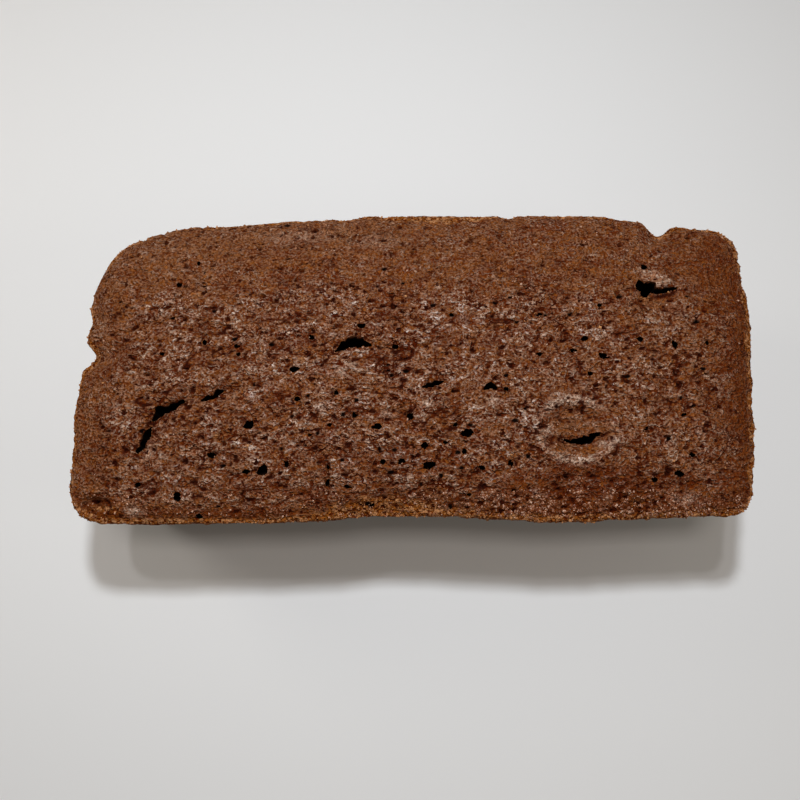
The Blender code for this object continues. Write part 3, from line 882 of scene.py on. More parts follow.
    def add_ring(
        self, bm: BMesh, rim: dict, edges: list, inset: float,
        ring_height: Callable[[float, float], float], is_lip: bool,
    ) -> tuple[dict, list]:
        """Extrude the open edge down into one more ring.

        Args:
            bm: The loaf.
            rim: The open edge's vertices and their places on the square.
            edges: The open edge.
            inset: How far the ring lies inside the rim.
            ring_height: Height of the ring at a plan place.
            is_lip: Whether the ring is part of the lip.

        Returns:
            The new ring's vertices with their places, and its edges.
        """
        layers = {trait: bm.verts.layers.float[trait.value] for trait in Trait}
        made = bmesh.ops.extrude_edge_only(bm, edges=edges)["geom"]
        ring = {}
        for vert in (item for item in made if isinstance(item, bmesh.types.BMVert)):
            neighbours = (edge.other_vert(vert) for edge in vert.link_edges)
            ring[vert] = rim[next(upper for upper in neighbours if upper in rim)]
        for vert, (u, v) in ring.items():
            height = ring_height(*self.rim_point(u, v, self.form.rim, False))
            x, y = self.rim_point(u, v, height, is_lip)
            draw_in = inset + 0.5 * MM * self.form.wander(x, y, height, 13.0 * MM)
            if height > 0.0:
                draw_in += self.wall_relief(x, y, height, is_lip)
            vert.co = (x * (1.0 - draw_in / self.form.left), y * (1.0 - draw_in / self.form.near), height)
            for layer in layers.values():
                vert[layer] *= 0.6 if is_lip else 0.0
            vert[layers[Trait.SIDE]] = smooth_step((self.form.rim - 2.6 * MM - height) / (1.0 * MM))
            vert[layers[Trait.GOLD]] = self.lip_gold(x, y, height) if is_lip else 0.0
        lower = [item for item in made if isinstance(item, bmesh.types.BMEdge) and item.is_boundary]
        return ring, lower

    def wall_relief(self, x: float, y: float, z: float, is_lip: bool) -> float:
        """How far the wall's fine surface lies inside (+) its plain line."""
        point = Vector((x, y, z))
        coarse = noise.noise(point / (5.5 * MM))
        fine = noise.noise(point / (1.7 * MM))
        if is_lip:
            return 0.16 * MM * (coarse + 1.0) + 0.22 * MM * (fine + 0.6)
        return 0.25 * MM * (coarse + 0.6) + 0.20 * MM * (fine + 0.6)

    def lip_gold(self, x: float, y: float, z: float) -> float:
        """Share of golden crumb on the lip."""
        point = Vector((x, y, z))
        patchy = noise.noise(point / (4.0 * MM)) + 0.5 * noise.noise(point / (1.5 * MM))
        return min(1.0, max(0.0, 0.62 + 0.8 * patchy))

    def seen_from_above(self, bm: BMesh, lowest: float) -> tuple[list, KDTree]:
        """The vertices above a height, and a tree of their plan places."""
        top = [vert for vert in bm.verts if vert.co.z > lowest]
        tree = KDTree(len(top))
        for index, vert in enumerate(top):
            tree.insert((vert.co.x, vert.co.y, 0.0), index)
        tree.balance()
        return top, tree

    def press_pits(self, bm: BMesh) -> None:
        """Press hundreds of small pits into the crust."""
        layers = bm.verts.layers.float
        crease, crest, deep = layers[Trait.CREASE], layers[Trait.CREST], layers[Trait.DEEP]
        top, tree = self.seen_from_above(bm, self.form.rim - 1.5 * MM)
        draws = random.Random(self.crust.pit_seed)
        for number in range(self.crust.pit_count):
            x = draws.uniform(*self.crust.pit_x_mm) * MM
            y = draws.uniform(*self.crust.pit_y_mm) * MM
            share, openness = draws.random(), draws.random()
            radius = draws.uniform(*self.crust.pit_radius)
            depth = draws.uniform(*self.crust.pit_depth)
            stretch = draws.uniform(*self.crust.pit_stretch)
            if share > 0.08 + 0.80 * self.crust.fold_zone(x, y):
                continue
            open_zone = bell(x + 5.0 * MM, 60.0 * MM) * rise(y, 10.0 * MM, -25.0 * MM)
            is_open = openness < self.crust.open_share * (0.4 + open_zone)
            for place, index, distance in tree.find_range((x, y, 0.0), radius * stretch):
                vert = top[index]
                across = math.hypot((place[0] - x) / stretch, place[1] - y)
                share_down = bell(across, radius)
                vert.co.z -= depth * share_down
                # painted shade: the crease value darkens the pit; open pits are painted dark as holes
                vert[crease] = min(1.0, vert[crease] + 1.3 * share_down)
                vert[crest] *= 1.0 - share_down
                if is_open:
                    vert[deep] = max(vert[deep], min(1.0, 1.3 * share_down))

    def press_mouths(self, bm: BMesh) -> None:
        """Draw the crust down round every opening and along the grooves, with painted shade in the dip."""
        crease = bm.verts.layers.float[Trait.CREASE]
        top, tree = self.seen_from_above(bm, self.form.rim - 3.0 * MM)
        cutters = Cutters(BVHTree.FromBMesh(bm), self.openings.seed)
        slide = Vector((*self.form.slide, 0.0))
        marks = [(hole.x, hole.y, 0.85 * hole.across, 0.40 * MM, 0.8) for hole in self.openings.round]
        for opening in self.openings.torn.values():
            line = Groove(tuple(station[:2] for station in opening.stations), 0.0, 0.0)
            widest = max(station[2] for station in opening.stations)
            marks += [(x, y, 0.4 * widest + 0.8 * MM, 0.16 * MM, 0.35) for x, y in line.walk(0.8 * MM)]
        for groove in self.openings.grooves:
            for x, y in groove.walk(0.35 * MM):
                drift = 0.5 * MM * plan_noise(x, y, 17.0, 2.0 * MM)
                share = 0.7 + 0.9 * plan_noise(x, y, 19.0, 2.5 * MM)
                marks.append((x + drift, y + drift, groove.width, 0.5 * groove.depth, groove.shade * share))
        for x, y, reach, depth, shade in marks:
            mouth = cutters.on_crust(x, y) - slide
            for place, index, distance in tree.find_range((mouth.x, mouth.y, 0.0), reach):
                share = bell(distance, reach)
                top[index].co.z -= depth * share
                # painted shade in the dip round each opening and along each groove
                top[index][crease] = min(1.0, top[index][crease] + shade * share)

    def make(self) -> bpy.types.Object:
        """Model the whole loaf.

        Returns:
            The finished object, with its place in its mesh.
        """
        bm = bmesh.new()
        for trait in Trait:
            bm.verts.layers.float.new(trait.value)
        rim = self.make_top(bm)
        self.make_walls(bm, rim)
        self.press_pits(bm)
        self.press_mouths(bm)
        loaf = link_mesh("chocolate_loaf", bm, self.form.slide)
        self.cut(loaf)
        self.stay_in_box(loaf)
        loaf.data.shade_smooth()
        loaf.data.set_sharp_from_angle(angle=self.sharp_angle)
        return loaf

    def cut(self, loaf: bpy.types.Object) -> None:
        """Cut the openings and mark how deep the new surface lies in them."""
        uncut = bmesh.new()
        uncut.from_mesh(loaf.data)
        surface = BVHTree.FromBMesh(uncut)
        uncut.free()
        cutters = Cutters(surface, self.openings.seed)
        shapes = [cutters.hollow(hole) for hole in self.openings.round]
        shapes += [
            cutters.tunnel(opening, self.openings.sides, self.openings.stations)
            for opening in self.openings.torn.values()
        ]
        group = bpy.data.collections.new("hollows")
        for number, shape in enumerate(shapes):
            group.objects.link(link_mesh(f"hollow_{number}", shape, (0.0, 0.0)))
        carve = loaf.modifiers.new("carve", "BOOLEAN")
        carve.operation = "DIFFERENCE"
        carve.solver = "MANIFOLD"
        carve.operand_type = "COLLECTION"
        carve.collection = group
        with bpy.context.temp_override(object=loaf, active_object=loaf):
            bpy.ops.object.modifier_apply(modifier=carve.name)
        for hollow in list(group.objects):
            bpy.data.objects.remove(hollow, do_unlink=True)
        bpy.data.collections.remove(group)
        loaf.data.materials.clear()
        self.split_cut_faces(loaf)
        self.mark_depth(loaf, surface)

    def split_cut_faces(self, loaf: bpy.types.Object) -> None:
        """Split the many-sided faces that the cuts left, and drop pairs that lie back to back."""
        bm = bmesh.new()
        bm.from_mesh(loaf.data)
        many_sided = [face for face in bm.faces if len(face.verts) > 4]
        bmesh.ops.triangulate(bm, faces=many_sided, quad_method="BEAUTY", ngon_method="BEAUTY")
        groups = {}
        for face in bm.faces:
            groups.setdefault(frozenset(face.verts), []).append(face)
        folded = [face for group in groups.values() if len(group) > 1 for face in group]
        bmesh.ops.delete(bm, geom=folded, context="FACES")
        bm.to_mesh(loaf.data)
        bm.free()

    def mark_depth(self, loaf: bpy.types.Object, surface: BVHTree) -> None:
        """Give each vertex that a cut made its depth below the uncut crust; the finish paints shade in the
        holes by this depth.
        """
        deep = loaf.data.attributes[Trait.DEEP.value].data
        for index, vert in enumerate(loaf.data.vertices):
            if vert.co.z < self.form.rim - 9.0 * MM:
                continue
            distance = surface.find_nearest(vert.co)[3]
            if distance < 0.05 * MM:
                continue
            start = Vector((vert.co.x, vert.co.y, CAD_BOX[1][2] + 10.0 * MM))
            hit = surface.ray_cast(start, Vector((0.0, 0.0, -1.0)))[0]
            if hit is not None and hit.z > vert.co.z:
                deep[index].value = max(deep[index].value, smooth_step((hit.z - vert.co.z) / (0.7 * MM)))

    def stay_in_box(self, loaf: bpy.types.Object) -> None:
        """Keep every vertex inside the solid's box."""
        low, high = np.array(CAD_BOX[0]), np.array(CAD_BOX[1])
        places = np.empty(len(loaf.data.vertices) * 3)
        loaf.data.vertices.foreach_get("co", places)
        places = np.clip(places.reshape(-1, 3), low, high)
        loaf.data.vertices.foreach_set("co", places.ravel())


def link_mesh(name: str, bm: BMesh, slide: tuple[float, float]) -> bpy.types.Object:
    """Turn a bmesh into an object of the scene.

    Args:
        name: The object's name.
        bm: Its mesh, which is freed.
        slide: How far the mesh is slid along X and Y first.

    Returns:
        The object, at the origin.
    """
    bmesh.ops.translate(bm, verts=bm.verts, vec=(slide[0], slide[1], 0.0))
    mesh = bpy.data.meshes.new(name)
    bm.to_mesh(mesh)
    bm.free()
    item = bpy.data.objects.new(name, mesh)
    bpy.context.scene.collection.objects.link(item)
    return item


class Term:
    """A shader socket that takes part in sums."""

    def __init__(self, bench: "Bench", socket: bpy.types.NodeSocket) -> None:
        """Wrap a socket of the bench's material."""
        self.bench = bench
        self.socket = socket

    def join(self, operation: str, first: object, second: object) -> "Term":
        """A Math node of two values."""
        node = self.bench.add("ShaderNodeMath", {"operation": operation}, {0: first, 1: second})
        return Term(self.bench, node.outputs[0])

    def __add__(self, other: object) -> "Term":
        """self + other."""
        return self.join("ADD", self, other)

    def __radd__(self, other: object) -> "Term":
        """other + self."""
        return self.join("ADD", other, self)

    def __sub__(self, other: object) -> "Term":
        """self - other."""
        return self.join("SUBTRACT", self, other)

    def __rsub__(self, other: object) -> "Term":
        """other - self."""
        return self.join("SUBTRACT", other, self)

    def __mul__(self, other: object) -> "Term":
        """self * other."""
        return self.join("MULTIPLY", self, other)

    def __rmul__(self, other: object) -> "Term":
        """other * self."""
        return self.join("MULTIPLY", other, self)

    def over(self, low: float, high: float) -> "Term":
        """A smooth step from 0 at low to 1 at high."""
        node = self.bench.add(
            "ShaderNodeMapRange", {"interpolation_type": "SMOOTHSTEP"},
            {"Value": self, "From Min": low, "From Max": high},
        )
        return Term(self.bench, node.outputs[0])


class Bench:
    """Builds the nodes of one material."""

    MIX_FACTOR, MIX_A, MIX_B, MIX_OUT = 0, 6, 7, 2

    def __init__(self, name: str) -> None:
        """Start a material with its Principled BSDF."""
        self.material = bpy.data.materials.new(name)
        self.material.use_nodes = True
        self.nodes = self.material.node_tree.nodes
        self.links = self.material.node_tree.links
        self.shader = self.nodes["Principled BSDF"]

    def add(self, kind: str, settings: dict, sockets: dict) -> bpy.types.Node:
        """Add a node.

        Args:
            kind: The node's type.
            settings: Its settings, which are set first.
            sockets: Values or links of its sockets, by name or number.

        Returns:
            The node.
        """
        node = self.nodes.new(kind)
        for key, value in settings.items():
            setattr(node, key, value)
        for key, value in sockets.items():
            self.feed(node.inputs[key], value)
        return node

    def feed(self, socket: bpy.types.NodeSocket, value: object) -> None:
        """Link a term to a socket, or set its value."""
        if isinstance(value, Term):
            self.links.new(value.socket, socket)
        else:
            socket.default_value = value

    def finish(self, sockets: dict[str, object]) -> bpy.types.Material:
        """Feed the shader's sockets and give the finished material."""
        for name, value in sockets.items():
            self.feed(self.shader.inputs[name], value)
        return self.material

    def place_in_mm(self, stretch: tuple[float, float, float] = (1.0, 1.0, 1.0)) -> Term:
        """Object coordinates in millimetres, stretched by a factor on each axis."""
        where = self.add("ShaderNodeTexCoord", {}, {})
        source = Term(self, where.outputs["Object"])
        factor = tuple(value / MM for value in stretch)
        node = self.add("ShaderNodeVectorMath", {"operation": "MULTIPLY"}, {0: source, 1: factor})
        return Term(self, node.outputs[0])

    def warp(self, place: Term, scale: float, reach: float) -> Term:
        """The same place moved about by noise, up to reach millimetres.

        Args:
            place: The place in millimetres.
            scale: Lumps of the noise per millimetre.
            reach: How far it moves.

        Returns:
            The moved place.
        """
        lumps = self.add("ShaderNodeTexNoise", {}, {"Vector": place, "Scale": scale, "Detail": 1.0})
        node = self.add("ShaderNodeVectorMath", {"operation": "MULTIPLY_ADD"}, {
            0: Term(self, lumps.outputs["Color"]), 1: (reach, reach, reach), 2: place,
        })
        return Term(self, node.outputs[0])

    def trait(self, trait: Trait) -> Term:
        """One of the surface's own values."""
        node = self.add("ShaderNodeAttribute", {"attribute_name": trait.value}, {})
        return Term(self, node.outputs["Fac"])

    def clouds(self, place: Term, scale: float, detail: float = 2.0, rough: float = 0.5) -> Term:
        """Noise of about scale lumps per millimetre."""
        node = self.add("ShaderNodeTexNoise", {}, {
            "Vector": place, "Scale": scale, "Detail": detail, "Roughness": rough,
        })
        return Term(self, node.outputs[0])

    def cells(self, place: Term, scale: float) -> tuple[Term, Term]:
        """Cells of about scale per millimetre: distance from each middle, and a random value."""
        node = self.add("ShaderNodeTexVoronoi", {}, {"Vector": place, "Scale": scale})
        split = self.add("ShaderNodeSeparateColor", {}, {0: Term(self, node.outputs["Color"])})
        return Term(self, node.outputs["Distance"]), Term(self, split.outputs[0])

    def blend(self, first: object, second: object, share: object) -> Term:
        """Mix two colours."""
        node = self.add("ShaderNodeMix", {"data_type": "RGBA"}, {
            self.MIX_FACTOR: share, self.MIX_A: first, self.MIX_B: second,
        })
        return Term(self, node.outputs[self.MIX_OUT])

    def layer(self, base: object, *coats: tuple[object, object]) -> Term:
        """Blend colours over a base in turn, each with its own share."""
        for tint, share in coats:
            base = self.blend(base, tint, share)
        return base

    def bump(self, height: Term, distance: float, strength: float) -> Term:
        """A normal from a height."""
        node = self.add("ShaderNodeBump", {}, {
            "Height": height, "Distance": distance, "Strength": strength,
        })
        return Term(self, node.outputs[0])


class CrustPatterns:
    """The noise, cells and surface values that the crust's colour, gloss and bump are mixed from."""

    def __init__(self, bench: Bench) -> None:
        """Lay the patterns out on the bench."""
        place = bench.place_in_mm()
        bent_place = bench.warp(place, 0.45, 0.9)
        flat_place = bench.warp(bench.place_in_mm((0.75, 1.15, 1.0)), 0.6, 0.8)
        self.deep, self.side = bench.trait(Trait.DEEP), bench.trait(Trait.SIDE)
        self.crease, self.crest = bench.trait(Trait.CREASE), bench.trait(Trait.CREST)
        self.gold, self.pale = bench.trait(Trait.GOLD), bench.trait(Trait.PALE)
        self.sheen, self.glinting = bench.trait(Trait.SHEEN), bench.trait(Trait.GLINT)
        # baked: darker, redder tone, partly painted shade on the margins and inside the front rim
        self.baked, self.faded = bench.trait(Trait.BAKED_AND_SHADE), bench.trait(Trait.FADED)
        self.even = bench.trait(Trait.EVEN)
        self.mottle = bench.clouds(flat_place, 0.26, 3.0, 0.62)
        patches = bench.clouds(flat_place, 0.20, 3.0, 0.62)
        self.fine = bench.clouds(place, 1.75, 0.3, 0.6)
        self.grit = bench.clouds(flat_place, 1.25, 1.0, 0.6)
        self.chips = bench.clouds(bent_place, 0.50, 2.0, 0.65)
        self.lumps = bench.clouds(bent_place, 0.85, 0.6, 0.5) - 0.5
        beads = bench.clouds(flat_place, 1.15, 0.3, 0.5) - 0.5
        folds = bench.clouds(flat_place, 0.42, 1.2, 0.5) - 0.5
        gate = bench.clouds(bent_place, 0.24, 1.0, 0.5)
        # curls: thin streaks, in the bump and as painted highlights
        self.curls = (self.lumps * self.lumps).over(0.0060, 0.0004) * self.grit.over(0.42, 0.54)
        self.curls_small = (beads * beads).over(0.0080, 0.0006) * self.fine.over(0.42, 0.54)
        # cracks: thin folds, in the bump and as painted shade
        self.cracks = (folds * folds).over(0.0012, 0.0002) * gate.over(0.52, 0.62)
        pit, pit_value = bench.cells(bent_place, 0.34)
        ragged_pit = pit + (self.grit - 0.5) * 0.45 + (self.fine - 0.5) * 0.25
        speck, self.speck_value = bench.cells(flat_place, 1.45)
        # bright: small specks, painted as light grains and glints
        self.bright = speck.over(0.62, 0.30) * self.speck_value.over(0.52, 0.80)
        self.rough = 1.0 - self.even * 0.6
        self.busy = (self.sheen.over(0.0, 0.5) * 0.48 + 0.56) * self.rough
        # high: knob tops, for the coat's gloss and for painted highlights
        self.high = self.crest.over(0.10, 0.75)
        # low: strength of the painted shade in the relief's valleys
        self.low = 1.25 - self.high * 0.75
        # light: where light grains and painted highlights show, more on knob tops
        self.light = patches.over(0.44, 0.60) * (1.0 - self.baked * 0.75) * (self.high * 0.75 + 0.25)
        pit_size = pit_value.over(0.45, 1.0) * 0.20
        self.pits = (pit_size - ragged_pit).over(0.0, 0.05) * self.busy
        pit_rim = (pit_size + 0.10 - ragged_pit).over(0.0, 0.10)
        self.pit_edges = pit_rim * pit_value.over(0.40, 0.60) * self.busy


@dataclass(frozen=True)
class CrustFinish:
    """Baked chocolate crust: mottled brown, with painted shade in its folds, pits and holes and painted
    highlights on its knob tops and glossy middle, golden where torn.
    """

    brown: Colour = (0.222, 0.064, 0.011, 1.0)
    red_brown: Colour = (0.140, 0.027, 0.003, 1.0)
    even_brown: Colour = (0.240, 0.080, 0.022, 1.0)
    faded_brown: Colour = (0.260, 0.100, 0.035, 1.0)
    dark_red: Colour = (0.148, 0.028, 0.002, 1.0)
    # painted shade: dark red for creases, pits, cracks and the low parts of the relief
    recess_shade_red: Colour = (0.074, 0.0085, 0.0005, 1.0)
    # light grain of the crust, also painted highlight where it follows knob tops and the glossy middle
    light_grain_and_highlight: Colour = (0.375, 0.175, 0.095, 1.0)
    # pale grain of the torn flap, also painted highlights and glints
    pale_grain_and_glint: Colour = (0.680, 0.470, 0.355, 1.0)
    orange_crumb: Colour = (0.300, 0.090, 0.014, 1.0)
    gold_crumb: Colour = (0.540, 0.255, 0.112, 1.0)
    gold_shadow: Colour = (0.098, 0.014, 0.0007, 1.0)
    side_brown: Colour = (0.115, 0.038, 0.013, 1.0)
    side_light: Colour = (0.210, 0.090, 0.036, 1.0)
    glint_tint: Colour = (1.0, 0.82, 0.68, 1.0)
    # painted shade: the darkest bottoms of pits and creases
    pit_shade: Colour = (0.026, 0.0022, 0.0003, 1.0)
    # painted shade: the unlit inside of the holes, painted near black
    hole_shade: Colour = (0.003, 0.001, 0.0007, 1.0)

    def make(self) -> bpy.types.Material:
        """Build the material.

        Returns:
            The crust's material.
        """
        bench = Bench("chocolate_crust_baked")
        look = CrustPatterns(bench)
        colour = self.baked_colour(bench, look)
        colour = self.grained(bench, look, colour)
        colour = self.torn(bench, look, colour)
        colour = self.pitted(bench, look, colour)
        open_crust = (1.0 - look.pit_edges) * (1.0 - look.cracks)
        open_crust = open_crust * (1.0 - look.deep.over(0.0, 0.3)) * (1.0 - look.crease.over(0.0, 0.6))
        gloss = look.sheen.over(0.05, 0.65) * open_crust * (look.light * 0.45 + 0.55)
        gloss = gloss * look.grit.over(0.36, 0.50)
        height = look.curls * 0.8 + look.curls_small * 0.7 + look.bright * 0.5
        height = height + look.lumps * 1.8 + look.grit * 1.7 + look.fine * 1.3
        height = height - look.cracks * 1.2 - look.pits * 0.7 - look.pit_edges * 0.5
        return bench.finish({
            "Base Color": colour,
            "Roughness": 1.0 - gloss * 0.78,
            "Coat Weight": gloss * look.fine.over(0.40, 0.54) * look.high * 0.95,
            "Coat Roughness": 0.38,
            "Specular IOR Level": 0.08,
            "Specular Tint": self.glint_tint,
            "Normal": bench.bump(height, 0.38 * MM, 1.0),
        })

    def baked_colour(self, bench: Bench, look: CrustPatterns) -> Term:
        """The crust's mottled brown, with its darker (partly painted shade), paler and more even places, and
        a painted highlight in the glossy middle.
        """
        return bench.layer(
            self.red_brown,
            (self.brown, look.mottle.over(0.40, 0.58)),
            (self.faded_brown, look.faded * 0.55),
            # darker red: partly the crust's own tone, partly painted shade
            (self.dark_red, look.baked * (look.mottle.over(0.70, 0.35) * 0.4 + 0.6)),
            (self.even_brown, look.even),
            # painted highlight: light grain in the glossy middle
            (self.light_grain_and_highlight, look.light * look.sheen.over(0.0, 0.6) * 0.16),
        )

    def grained(self, bench: Bench, look: CrustPatterns, colour: Term) -> Term:
        """The colour with dark grit, light and pale grains, glints and cracks over it: painted shade in low
        places and cracks, painted highlights on knob tops, curls, specks and glints.
        """
        grainy = (look.busy * 0.40 + 0.20) * (1.0 - look.baked * 0.85) * (look.high * 0.6 + 0.5)
        curled = look.curls * (look.light * 0.55 + 0.18) * look.busy * (1.0 - look.baked * 0.5)
        glint = (look.bright + look.curls * 0.6) * look.light * look.fine.over(0.46, 0.58)
        sparkle = look.glinting * (look.fine.over(0.44, 0.57) * 0.70 + look.grit.over(0.43, 0.56) * 0.40)
        return bench.layer(
            colour,
            # painted shade in the low parts of the fine noise, grit and chips, most in the relief's valleys
            (self.recess_shade_red, look.fine.over(0.47, 0.37) * 0.62 * look.rough),
            (self.recess_shade_red, look.grit.over(0.45, 0.36) * look.low * 0.92 * look.busy),
            (self.recess_shade_red, look.chips.over(0.42, 0.34) * look.low * 0.80 * look.busy),
            # light grains and bright specks, more on knob tops and in the glossy middle: partly painted
            # highlight
            (self.light_grain_and_highlight, look.fine.over(0.53, 0.63) * grainy * 0.75),
            (self.light_grain_and_highlight, look.curls_small * grainy * 1.5),
            (self.light_grain_and_highlight, look.bright * grainy),
            # painted highlights: pale curls, glints and sparkles in the glossy middle and on the crater's
            # ring
            (self.pale_grain_and_glint, curled),
            (self.pale_grain_and_glint, glint * look.sheen.over(0.0, 0.6) * 0.85),
            (self.light_grain_and_highlight, look.glinting * 0.50),
            (self.pale_grain_and_glint, sparkle * 0.95),
            # painted shade in the cracks
            (self.recess_shade_red, look.cracks * look.busy * (1.0 - look.glinting)),
            (self.orange_crumb, look.speck_value.over(0.05, 0.02) * 0.5),
        )

    def torn(self, bench: Bench, look: CrustPatterns, colour: Term) -> Term:
        """The colour with golden crumb and the pale flap where the crust is torn, and the walls."""
        orange = (look.grit * 0.8 + look.fine * 0.3).over(0.46, 0.54) * (1.0 - look.baked * 0.75)
        golden = (look.lumps + look.fine * 0.4).over(0.20, 0.32) * (0.8 - look.baked * 0.8)
        crumb = bench.layer(self.gold_shadow, (self.orange_crumb, orange), (self.gold_crumb, golden))
        flap = bench.layer(
            self.red_brown,
            (self.light_grain_and_highlight, look.grit.over(0.36, 0.50)),
            (self.pale_grain_and_glint, (look.fine * 0.6 + look.lumps * 0.6).over(0.28, 0.42) * 0.8),
        )
        wall_light = (look.mottle * 0.6 + look.fine * 0.5).over(0.48, 0.75)
        wall = bench.blend(self.side_brown, self.side_light, wall_light)
        return bench.layer(colour, (crumb, look.gold), (flap, look.pale * 0.90), (wall, look.side))

    def pitted(self, bench: Bench, look: CrustPatterns, colour: Term) -> Term:
        """The colour with painted shade in its small pits, creases and holes."""
        return bench.layer(
            colour,
            # painted shade round and in the pits and along the creases
            (self.recess_shade_red, look.pit_edges * 0.85),
            (self.pit_shade, look.pits),
            (self.recess_shade_red, look.crease.over(0.55, 0.95) * 0.85),
            (self.pit_shade, look.crease.over(0.85, 1.0) * 0.80),
            # painted shade inside the cut holes and the open pits, by their depth
            (self.hole_shade, look.deep.over(0.10, 0.75)),
        )


@dataclass(frozen=True)
class CrumbFinish:
    """Loose golden-brown crumbs."""

    dark: Colour = (0.205, 0.060, 0.012, 1.0)
    light: Colour = (0.500, 0.228, 0.080, 1.0)

    def make(self) -> bpy.types.Material:
        """Build the material.

        Returns:
            The crumbs' material.
        """
        bench = Bench("golden_crumb")
        place = bench.place_in_mm()
        patches = bench.clouds(place, 0.9, 2.0, 0.5)
        fine = bench.clouds(place, 3.5, 2.0, 0.6)
        colour = bench.blend(self.dark, self.light, (patches * 0.7 + fine * 0.4).over(0.38, 0.72))
        return bench.finish({
            "Base Color": colour,
            "Roughness": 0.8,
            "Normal": bench.bump(fine, 0.12 * MM, 0.7),
        })


@dataclass(frozen=True)
class GrainFinish:
    """Fine grains of the crust: red-brown to pale, with a little gloss."""

    dark: Colour = (0.110, 0.022, 0.003, 1.0)
    middle: Colour = (0.205, 0.062, 0.020, 1.0)
    light: Colour = (0.600, 0.385, 0.280, 1.0)

    def make(self) -> bpy.types.Material:
        """Build the material.

        Returns:
            The grains' material.
        """
        bench = Bench("crust_grain")
        place = bench.place_in_mm()
        patches = bench.clouds(place, 0.8, 2.0, 0.6)
        fine = bench.clouds(place, 2.6, 1.0, 0.6)
        colour = bench.blend(self.dark, self.middle, patches.over(0.36, 0.52))
        colour = bench.blend(colour, self.light, (patches * 0.4 + fine * 0.6).over(0.52, 0.62))
        return bench.finish({
            "Base Color": colour,
            "Roughness": 0.42,
            "Specular IOR Level": 0.25,
            "Normal": bench.bump(fine, 0.10 * MM, 0.7),
        })


@dataclass(frozen=True)
class Scatter:
    """Uneven little pieces strewn over the loaf, kept inside the solid's box."""

    seed: int
    batch: int = 150

    def grow(self, name: str, spots: list[tuple[Vector, float]]) -> bpy.types.Object:
        """Make one object with a piece at each spot.

        Args:
            name: The object's name.
            spots: Place and radius of each piece.

        Returns:
            The object.
        """
        draws = random.Random(self.seed)
        whole = bmesh.new()
        for start in range(0, len(spots), self.batch):
            part = bmesh.new()
            for place, size in spots[start:start + self.batch]:
                self.add_piece(part, draws, place, size)
            mesh = bpy.data.meshes.new("batch")
            part.to_mesh(mesh)
            part.free()
            whole.from_mesh(mesh)
            bpy.data.meshes.remove(mesh)
        return link_mesh(name, whole, (0.0, 0.0))

    def add_piece(self, bm: BMesh, draws: random.Random, place: Vector, size: float) -> None:
        """Add one uneven piece."""
        made = bmesh.ops.create_icosphere(bm, subdivisions=1, radius=size)["verts"]
        shift = Vector([draws.uniform(0.0, 40.0) for axis in range(3)])
        stretch = Vector([draws.uniform(0.6, 1.4) for axis in range(3)])
        turn = Matrix.Rotation(draws.uniform(0.0, math.pi), 3, "Z")
        reach = 2.1 * size
        low, high = Vector(CAD_BOX[0]), Vector(CAD_BOX[1])
        middle = Vector([min(max(place[axis], low[axis] + reach), high[axis] - reach) for axis in range(3)])
        for vert in made:
            uneven = 1.0 + 0.8 * noise.noise(vert.co / size * 1.1 + shift)
            vert.co = turn @ Vector([vert.co[axis] * stretch[axis] * uneven for axis in range(3)]) + middle


@dataclass(frozen=True)
class Crumbs:
    """Loose and half-torn golden crumbs along the rim and on the crust."""

    rim_count: int = 1500
    crust_count: int = 110
    size: tuple[float, float] = (0.13 * MM, 0.36 * MM)
    fineness: float = 2.5
    crust_size: tuple[float, float] = (0.15 * MM, 0.30 * MM)
    crust_lift: float = 0.05 * MM
    lowest: float = 42.0 * MM
    seed: int = 5

    def make(self, loaf: bpy.types.Object) -> bpy.types.Object:
        """Strew the crumbs over the loaf.

        Args:
            loaf: The loaf that they cling to.

        Returns:
            One object with all the crumbs.
        """
        draws = random.Random(self.seed)
        gold = loaf.data.attributes[Trait.GOLD.value].data
        baked = loaf.data.attributes[Trait.BAKED_AND_SHADE.value].data
        golden = [
            vert for vert in loaf.data.vertices
            if gold[vert.index].value > 0.75 and baked[vert.index].value < 0.8
        ]
        spots = []
        for number in range(self.rim_count):
            vert = golden[draws.randrange(len(golden))]
            size = self.size[0] + (self.size[1] - self.size[0]) * draws.random() ** self.fineness
            spots.append((vert.co.copy(), size))
        top = [vert for vert in loaf.data.vertices if vert.normal.z > 0.7 and vert.co.z > self.lowest]
        for number in range(self.crust_count):
            vert = top[draws.randrange(len(top))]
            spots.append((vert.co + vert.normal * self.crust_lift, draws.uniform(*self.crust_size)))
        return Scatter(self.seed).grow("loose_crumbs", spots)


